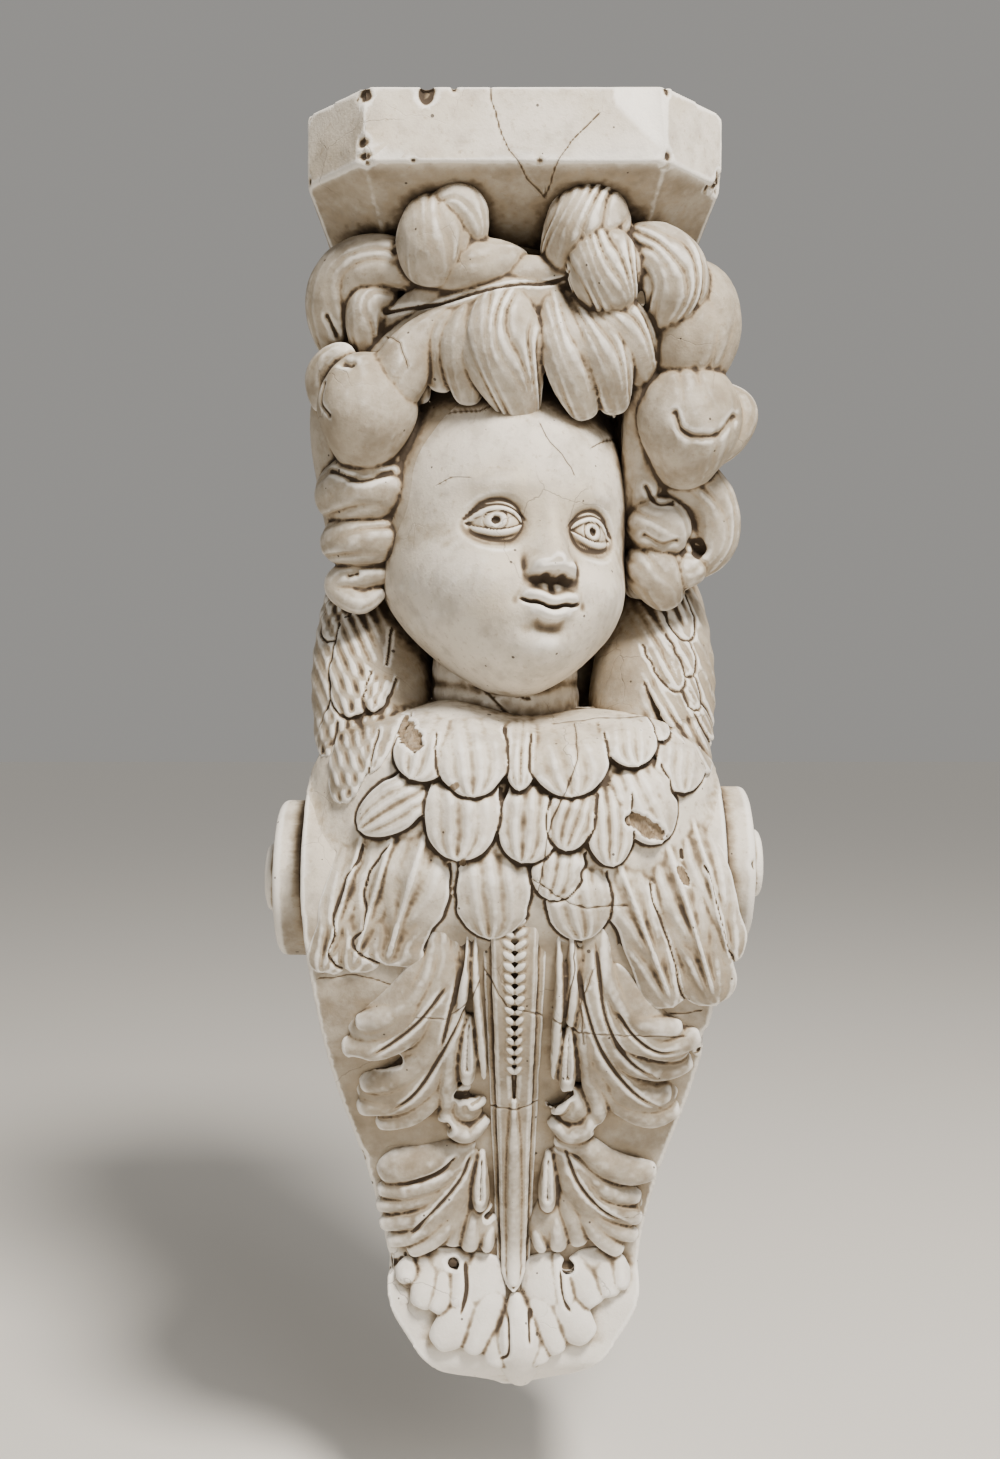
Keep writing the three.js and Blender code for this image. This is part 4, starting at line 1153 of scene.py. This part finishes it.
# Each lock's line in hundredths of the head's height, its half-thickness along it, how many
# strands are scored in it, how deep, and how far they wind round it
curls = [
    ([(-17.5, 34, 88.5), (-17.5, 38, 76), (-18.5, 34, 65)], (10, 11.5, 10), 16, 0.05, 0.3),
    ([(-20, 38, 83), (-11.5, 42, 84.5), (-8, 42, 79.5), (-6.5, 39, 73)], (6.5, 6.5, 5.2, 3.5), 10, 0.08, 0.3),
    ([(-21, 36, 71), (-10, 38, 70), (0, 37, 71.2), (7, 33, 73.5)], (9, 8, 6, 3.6), 8, 0.05, 0.3),
    ([(29, 34, 89.5), (23.5, 38, 79.5), (14.5, 33, 69.5)], (9.5, 12, 9), 18, 0.13, 0.5),
    ([(25.5, 34, 80.5), (28, 42.2, 67), (32.5, 38, 56)], (8.5, 10.2, 7.5), 18, 0.15, 0.15),
    ([(35, 35, 79.5), (44, 39, 71.5), (47, 40, 62), (43, 34, 52.5)], (6.5, 9.5, 9.8, 6), 14, 0.15, 0.5),
    ([(52, 27, 72.5), (54, 30, 62), (52.5, 29, 49), (48, 22, 37)], (9, 12.5, 13.3, 9), 12, 0.05, 0.5),
    ([(52, 23, 46), (52.5, 28, 29), (51.5, 19, 12.5)], (11.5, 15, 10), 12, 0.05, 0.8),
    ([(44, 29, 29), (50, 32, 21.5), (61, 26, 24.5), (67.5, 17, 34), (61, 6, 43)],
     (4, 6.5, 7, 7, 6), 8, 0.1, 0.8),
    ([(40, 12, 17), (51, 16, 16), (60.5, 13, 8), (62, 10, -3), (55, 9, -12)],
     (8, 9, 8, 7.5, 6), 10, 0.1, 0.9),
    ([(38, 14, 6), (46, 16, 1), (50, 13, -6)], (8.5, 9, 6.5), 9, 0.08, 0.5),
    ([(48, 11, -8.5), (53, 12.5, -11), (59, 9, -10)], (4.5, 5.5, 4.5), 8, 0.08, 0.6),
    ([(40, 10, -3), (45, 12, -11), (50, 7, -21)], (7.5, 9, 6.5), 9, 0.09, 0.6),
    ([(-21, 30, 68), (-32, 29, 73), (-43, 24, 71), (-48, 18, 63), (-48, 10, 50)],
     (7, 8.5, 9, 9, 7), 12, 0.08, 0.5),
    ([(-29, 26, 64.5), (-36, 27, 63.5), (-38, 24, 57), (-37, 17, 44)], (5, 6, 6.2, 5), 10, 0.09, 0.4),
    ([(-37, 25, 47), (-37.5, 28, 32.5), (-39.5, 19, 17.5)], (11.5, 14.2, 10), 12, 0.02, 0.4),
    ([(-51, 17, 34), (-50.5, 21, 43), (-45, 26, 47.5), (-40.5, 27, 43)], (5, 5.5, 4.4, 2.6), 8, 0.06, 0.4),
    ([(-36, 28, 30), (-28.5, 32, 41), (-22.5, 34, 50), (-12, 36, 58.5)], (10, 8.5, 6.5, 4.5), 8, 0.04, 0.3),
    ([(-25, 15, 12), (-38, 18, 12.5), (-52, 10, 9)], (9, 10.8, 9.5), 8, 0.11, 0.3),
    ([(-26, 14, -0.5), (-40, 15, -2), (-51, 8, -3)], (7.5, 8.2, 7.5), 8, 0.12, 0.3),
    ([(-31, 11, -11), (-40, 12, -12), (-47, 9, -15), (-41, 12, -20), (-34, 11, -17)],
     (5, 5.4, 5, 4.4, 3.5), 8, 0.1, 0.4),
    ([(-29, 14, -1), (-27.5, 17, -6.5), (-29.5, 14, -12)], (3.6, 4.6, 3.6), 0, 0, 0),
]
fringe = [
    ([(-14, 34, 57), (-21, 33, 52), (-24, 29, 45), (-22, 24, 35)], (4.5, 5.5, 5.5, 4), 8, 0.14, 0.4),
    ([(-8, 36, 58), (-15, 36, 50), (-17, 30, 37)], (5, 6.5, 5), 8, 0.14, 0.3),
    ([(-4, 37, 61), (-9, 38, 48), (-9, 31, 33)], (6, 8, 5.5), 10, 0.12, 0.3),
    ([(2.5, 37, 64), (0.5, 40.5, 47), (7, 31.5, 27.5)], (8.5, 11.5, 7.5), 16, 0.16, 0.1),
    ([(13, 37, 64), (18, 41, 45), (24, 31.5, 29)], (4.5, 7.4, 6.2), 12, 0.17, 0.1),
    ([(17.5, 37, 63), (27, 40.5, 46.5), (32.5, 30, 31)], (4.5, 7.8, 6.2), 12, 0.17, 0.1),
    ([(19, 37, 64), (32.5, 39.5, 53), (40.5, 30, 39)], (4.5, 8, 6.5), 12, 0.17, 0.15),
]
band = [
    ([(-41, 19, 52), (-20, 32, 62.5), (-4, 35.5, 66.3), (9, 36.5, 68), (24, 36, 68)],
     (5, 5, 5.2, 5.4, 4.5), 0, 0, 0),
    ([(-40, 20, 45), (-20, 31.5, 53.5), (-4, 35, 57.5), (15, 36.5, 60)], (6, 6.5, 6.5, 5.5), 0, 0, 0),
]
# Shorter locks deep under the others, which close the gaps between them
under_hair = [
    ([(-34, 8, 66), (-42, 8, 38), (-42, 4, 10), (-40, -2, -18)], (12, 14, 12, 10), 12, 0.08, 0.5),
    ([(36, 10, 66), (47, 10, 38), (44, 4, 10), (42, -2, -18)], (12, 14, 13, 10), 12, 0.08, 0.5),
    ([(-36, 4, 62), (0, 10, 68), (36, 4, 62)], (14, 18, 14), 14, 0.06, 0.5),
    ([(-24, 31, 55), (-29, 26, 40), (-32, 19, 20), (-33, 12, 0)], (7, 7, 7, 6), 8, 0.08, 0.3),
    ([(38, 31, 58), (41, 26, 38), (41, 18, 15), (40, 9, -8)], (6, 7, 7, 6), 8, 0.08, 0.3),
    ([(-28, 24, 55), (0, 30, 60), (34, 26, 58)], (9, 12, 9), 0, 0, 0),
    ([(50, 8, 14), (54, 7, 0), (50, 4, -16)], (8, 9, 8), 0, 0, 0),
]

hair_clay = Clay()
for group, flatter in ((curls, 1), (fringe, 0.72), (band, 0.8), (under_hair, 1)):
    for line, thick, strands, depth, wind in group:
        widths = np.array(thick) * head_height / 100
        tongue(
            hair_clay, at_head(line), widths, widths * flatter,
            strands=strands, depth=depth, wind=wind, ring=120, rows=80,
        )
# The crown under the locks, an egg round a middle in hundredths of the head's height
crown_middle = np.array([0, -4, 10])
crown_half = np.array([41, 40, 46])
polar = np.linspace(0.02, np.pi - 0.02, 60)[:, None]
turn = np.linspace(0, 2 * np.pi, 90, endpoint=False)[None]
crown = np.stack([
    np.sin(polar) * np.cos(turn), np.sin(polar) * np.sin(turn), np.cos(polar) + 0 * turn,
], axis=-1)
lofted(hair_clay, at_head(crown_middle + crown_half * crown))

# Creases and pockets scored in with a tool: line across and up, half-width, depth
hair_creases = [
    ([(-66, 247), (-40, 247), (-18, 251), (2, 255), (15, 256), (26, 259)], 0.9, 1.8),
    ([(80, 190), (84, 181), (92, 178), (103, 180), (112, 190)], 1.9, 1.8),
    ([(-87, 218), (-83, 217)], 2.4, 3.5), ([(97, 130), (99, 127)], 3.0, 6.0),
    ([(-64, 165), (-80, 160), (-96, 167)], 1.7, 1.5), ([(69, 158), (75, 150), (83, 150)], 1.4, 1.3),
    ([(68, 133), (77, 128), (86, 130)], 1.6, 1.5), ([(-97, 208), (-99, 198), (-94, 190)], 0.8, 1.0),
    ([(-98, 246), (-94, 239)], 1.5, 2.2), ([(-88, 113), (-84, 114)], 1.6, 1.6),
]
hair_back = -100
cracks["hair"] = [[(-66, 234), (-58, 226), (-54, 214)]]


def hair_cuts(points):
    """The creases and the crack, on the locks that face forwards only."""
    cut = cracked(points, "hair")
    for line, wide, deep in hair_creases:
        route = path_through(line, np.linspace(0, 1, 6 * len(line)))
        near = near_line(points, route, 3 * wide + 2)
        gap = line_gap(points[near], route)[0]
        cut[near] = np.maximum(cut[near], deep * np.exp(-(gap / wide) ** 2))
    return cut * (points[:, 1] < hair_back)


skin(hair_clay, "hair", 0.95, 175000, carved, hair_cuts, rounds=1)

# Paint. Many thin coats of cream distemper, dulled to tan and grey, with painted shade in
# every hollow, pale edges partly worn and partly painted highlight, air-bubble pinholes,
# hair cracks and brown fibre at the breaks.


def linear(colour):
    """An sRGB hex colour as linear values."""
    parts = [int(colour[i:i + 2], 16) / 255 for i in (1, 3, 5)]
    return [part / 12.92 if part <= 0.04045 else ((part + 0.055) / 1.055) ** 2.4 for part in parts] + [1]


def node(tree, kind, links=None, **settings):
    """Adds a node with its settings and links; each link is named for its socket, or
    numbered where it has no name of its own."""
    made = tree.nodes.new(kind)
    for name, value in settings.items():
        setattr(made, name, value)
    for name, source in (links or {}).items():
        socket = made.inputs[name]
        if hasattr(source, "links"):
            tree.links.new(source, socket)
        else:
            socket.default_value = source
    return made


def shut_in(points, normals):
    """How much of the space before each point the casting itself closes off, 0 to 1. What
    covers a point from far in front of it counts for less, as light gets in behind it."""
    shut, total = np.zeros(len(points)), np.full(len(points), 1e-6)
    ways = 30
    for number in range(ways):
        rise = 1 - (2 * number + 1) / ways
        turn = math.pi * (3 - math.sqrt(5)) * number
        level = math.sqrt(1 - rise * rise)
        way = np.array([level * math.cos(turn), level * math.sin(turn), rise])
        facing = normals @ way
        seen = np.flatnonzero(facing > 0.1)
        for reach in (5, 10, 20):
            probe = points[seen] + way * reach
            cover = front_map[map_cells(probe)] - 1 + probe[:, 1]
            shut[seen] += facing[seen] * (cover > 0) * eased(75, 30, cover)
            total[seen] += facing[seen]
    return shut / total


for body in pieces:
    mesh = body.data
    points, normals = points_of(mesh), normals_of(mesh)
    open_side = eased(0.6, 0.1, normals[:, 1])
    # The shut share is what darkens the hollows as painted shade
    stored(mesh, "shut", shut_in(points, normals) * open_side)
    signed, nearest = crack_gaps(points, body.name)
    stored(mesh, "crack_side", signed)
    stored(mesh, "crack_gap", nearest)
    stored(mesh, "broken", broken(points, body.name)[0])
    # Brown dust lies on the leaves, on the soffit and in the hair and wings, and stands in part for painted
    # shade under the breast and the shelf
    up = points[:, 2]
    dust_and_shade = eased(-30, -95, up) * eased(-268, -236, up)
    if body.name == "shelf":
        dust_and_shade = eased(band_bottom + 1, band_bottom - 4, up)
    elif body.name in ("hair", "wings"):
        dust_and_shade = np.full(len(points), 0.75)
    stored(mesh, "dust_and_shade", dust_and_shade * open_side)

# Matt and chalky: it looks soft and dry, warm cream where thick, darker where dirt lies and where shade is
# painted into hollows
plaster = bpy.data.materials.new("aged_cream_distemper")
plaster.use_nodes = True
tree = plaster.node_tree
shader = tree.nodes["Principled BSDF"]
position = node(tree, "ShaderNodeTexCoord").outputs["Object"]
place = node(tree, "ShaderNodeVectorMath", {0: position, "Scale": 1 / MM}, operation="SCALE").outputs[0]
fold, shut, crack_side, crack_gap, break_share, dust_and_shade_share = (
    node(tree, "ShaderNodeAttribute", attribute_name=name).outputs["Fac"]
    for name in ("fold", "shut", "crack_side", "crack_gap", "broken", "dust_and_shade")
)
# Blotches by their size in millimetres: clouds, patches, specks and the paint's own tooth
cloud, patch, speck, tooth = (
    node(tree, "ShaderNodeTexNoise", {
        "Vector": place, "Scale": 1 / size, "Detail": detail, "Roughness": rough,
    }).outputs[0]
    for size, detail, rough in ((85, 3, 0.55), (17, 5, 0.62), (3.2, 4, 0.65), (1.3, 3, 0.6))
)
# Painted shade where the casting closes in a point and in creases, mixed with random dirt from patches and
# specks
shade_and_dirt = 0.0
for cause, weight in ((shut, 1.7), (fold, 1.5), (patch, 0.6), (speck, 0.35)):
    shade_and_dirt = node(tree, "ShaderNodeMath", {0: cause, 1: weight, 2: shade_and_dirt}, operation="MULTIPLY_ADD").outputs[0]

# Bubbles that burst when the plaster was cast, in two sizes: how far apart the places lie
# and how wide a pit can be. About a third of the places have one.
pits = 0.0
for apart, least, widest in ((13, 0.6, 1.15), (7, 0.5, 0.7)):
    cell = node(tree, "ShaderNodeTexVoronoi", {"Vector": place, "Scale": 1 / apart})
    chance = node(tree, "ShaderNodeSeparateColor", {0: cell.outputs["Color"]}).outputs[0]
    wide = node(tree, "ShaderNodeMapRange", {
        "Value": chance, "From Min": 0.45, "To Min": -least / apart, "To Max": widest / apart,
    }, interpolation_type="SMOOTHSTEP").outputs[0]
    pit = node(tree, "ShaderNodeMath", {
        0: wide, 1: cell.outputs["Distance"],
    }, operation="GREATER_THAN").outputs[0]
    pits = node(tree, "ShaderNodeMath", {0: pits, 1: pit}, operation="MAXIMUM").outputs[0]

# The cracks, and a finer web of craze lines in the paint alone
strayed = node(tree, "ShaderNodeTexNoise", {"Vector": place, "Scale": 1 / 12, "Detail": 3}).outputs["Color"]
kinked = node(tree, "ShaderNodeVectorMath", {
    0: strayed, 1: (9, 9, 9), 2: place,
}, operation="MULTIPLY_ADD").outputs[0]
web = node(tree, "ShaderNodeTexVoronoi", {"Vector": kinked, "Scale": 1 / 46}, feature="DISTANCE_TO_EDGE")
beside = node(tree, "ShaderNodeMath", {0: crack_side}, operation="ABSOLUTE").outputs[0]
lines = 0.0
for gap, start, end, where, low, high, most in (
    (beside, 0.32, 0.1, crack_gap, 2.2, 1.2, 1.0),
    (web.outputs["Distance"], 0.007, 0.002, cloud, 0.5, 0.62, 0.5),
):
    strength = node(tree, "ShaderNodeMapRange", {
        "Value": where, "From Min": low, "From Max": high, "To Max": most,
    }, interpolation_type="SMOOTHSTEP").outputs[0]
    line = node(tree, "ShaderNodeMapRange", {
        "Value": gap, "From Min": start, "From Max": end, "To Max": strength,
    }, interpolation_type="SMOOTHSTEP").outputs[0]
    lines = node(tree, "ShaderNodeMath", {0: lines, 1: line}, operation="MAXIMUM").outputs[0]

# Bare brown plaster and torn fibre where a piece has broken away
strands = node(tree, "ShaderNodeVectorMath", {0: place, 1: (0.9, 0.3, 0.16)}, operation="MULTIPLY").outputs[0]
fibre = node(tree, "ShaderNodeTexNoise", {"Vector": strands, "Scale": 3.0, "Detail": 3}).outputs[0]
torn = node(tree, "ShaderNodeMixRGB", {
    "Fac": fibre, "Color1": linear("#4d3c2b"), "Color2": linear("#b09c80"),
}).outputs[0]

# The coats as they lie: colour, what lays it on, where that starts and ends, most of it
low_down = node(tree, "ShaderNodeSeparateXYZ", {0: place}).outputs["Z"]
uneven = node(tree, "ShaderNodeMapRange", {
    "Value": patch, "From Min": 0.3, "From Max": 0.7, "To Min": 0.5, "To Max": 0.95,
}).outputs[0]
colour = linear("#dbd3c6")
for coat, cause, start, end, most in (
    ("#b9aa90", cloud, 0.42, 0.68, 0.6),
    ("#a9a093", patch, 0.42, 0.68, 0.6),
    ("#94836a", speck, 0.55, 0.75, 0.5),
    ("#ece8e1", low_down, -225, -290, 0.75),
    # Brown dust, partly painted shade, on the soffit, the leaves under the breast and the hair and wings
    ("#7f715c", dust_and_shade_share, 0.0, 1.0, uneven),
    # Pale on outward edges: partly wear, partly painted highlight
    ("#fbf8f2", fold, -0.15, -0.7, 0.65),
    # Painted shade in hollows and creases, with some random dirt, in three steps
    ("#a5967f", shade_and_dirt, 0.46, 0.95, 0.75),
    ("#76654f", shade_and_dirt, 0.78, 1.3, 0.85),
    ("#3a2f25", shade_and_dirt, 1.15, 1.8, 0.92),
    ("#4a3c2e", lines, 0.0, 1.0, 0.7),
    ("#3a2f25", pits, 0.0, 1.0, 0.85),
    (torn, break_share, 0.35, 0.65, 0.9),
):
    amount = node(tree, "ShaderNodeMapRange", {
        "Value": cause, "From Min": start, "From Max": end, "To Max": most,
    }, interpolation_type="SMOOTHSTEP").outputs[0]
    top = linear(coat) if isinstance(coat, str) else coat
    colour = node(tree, "ShaderNodeMixRGB", {"Fac": amount, "Color1": colour, "Color2": top}).outputs[0]
tree.links.new(colour, shader.inputs["Base Color"])

dull = node(tree, "ShaderNodeMapRange", {
    "Value": shade_and_dirt, "From Min": 0.6, "From Max": 1.4, "To Min": 0.66, "To Max": 0.9,
}).outputs[0]
tree.links.new(dull, shader.inputs["Roughness"])
shader.inputs["Specular IOR Level"].default_value = 0.35
height = node(tree, "ShaderNodeMath", {0: break_share, 1: fibre}, operation="MULTIPLY").outputs[0]
for cause, weight in ((tooth, 0.45), (speck, 0.8), (pits, -1.6), (lines, -1.2)):
    height = node(tree, "ShaderNodeMath", {
        0: cause, 1: weight, 2: height,
    }, operation="MULTIPLY_ADD").outputs[0]
skin_bump = node(tree, "ShaderNodeBump", {"Height": height, "Strength": 0.7, "Distance": 0.0005})
tree.links.new(skin_bump.outputs[0], shader.inputs["Normal"])
for body in pieces:
    body.data.materials.append(plaster)

# Floor, light and camera. A plain pale floor below, a soft key light from the upper
# right with a broad even one beside it, and a level view from a little above mid height.

floor_level = -0.42
floor_wide = 40
eye_place = (-7.5 * MM, -918 * MM, 31 * MM)
camera_focal = 1500
frame_height = 1459

bpy.ops.mesh.primitive_plane_add(size=floor_wide, location=(0, 0, floor_level))
floor = bpy.context.object
floor.name = "floor"
# Plain matt emulsion: pale, even and without shine
floor_paint = bpy.data.materials.new("pale_floor")
floor_paint.use_nodes = True
emulsion = floor_paint.node_tree.nodes["Principled BSDF"].inputs
emulsion["Base Color"].default_value = linear("#e4e0d9")
emulsion["Roughness"].default_value = 0.9
floor.data.materials.append(floor_paint)

key = bpy.data.lights.new("key", "AREA")
key.shape = "DISK"
key.size = 0.5
key.energy = 92
key.color = linear("#fff8ee")[:3]
day = bpy.data.lights.new("day", "SUN")
day.energy = 0.55
day.angle = math.radians(25)
for light, place_of in ((key, (0.6, -1.3, 1.55)), (day, (0.4, -0.75, 0.6))):
    stand = bpy.data.objects.new(light.name, light)
    stand.location = place_of
    stand.rotation_euler = Vector(place_of).to_track_quat("Z", "Y").to_euler()
    bpy.context.scene.collection.objects.link(stand)
room = bpy.data.worlds.new("soft_room")
room.use_nodes = True
glow = room.node_tree.nodes["Background"].inputs
glow["Color"].default_value = linear("#ebe8e3")
glow["Strength"].default_value = 0.38
bpy.context.scene.world = room

# The focal length and the picture's height are both counted in pixels
eye = bpy.data.cameras.new("camera")
eye.sensor_width = 36
eye.lens = camera_focal * eye.sensor_width / frame_height
camera = bpy.data.objects.new("camera", eye)
camera.location = eye_place
camera.rotation_euler = (math.pi / 2, 0, 0)
bpy.context.scene.collection.objects.link(camera)
bpy.context.scene.camera = camera

bpy.context.view_layer.update()
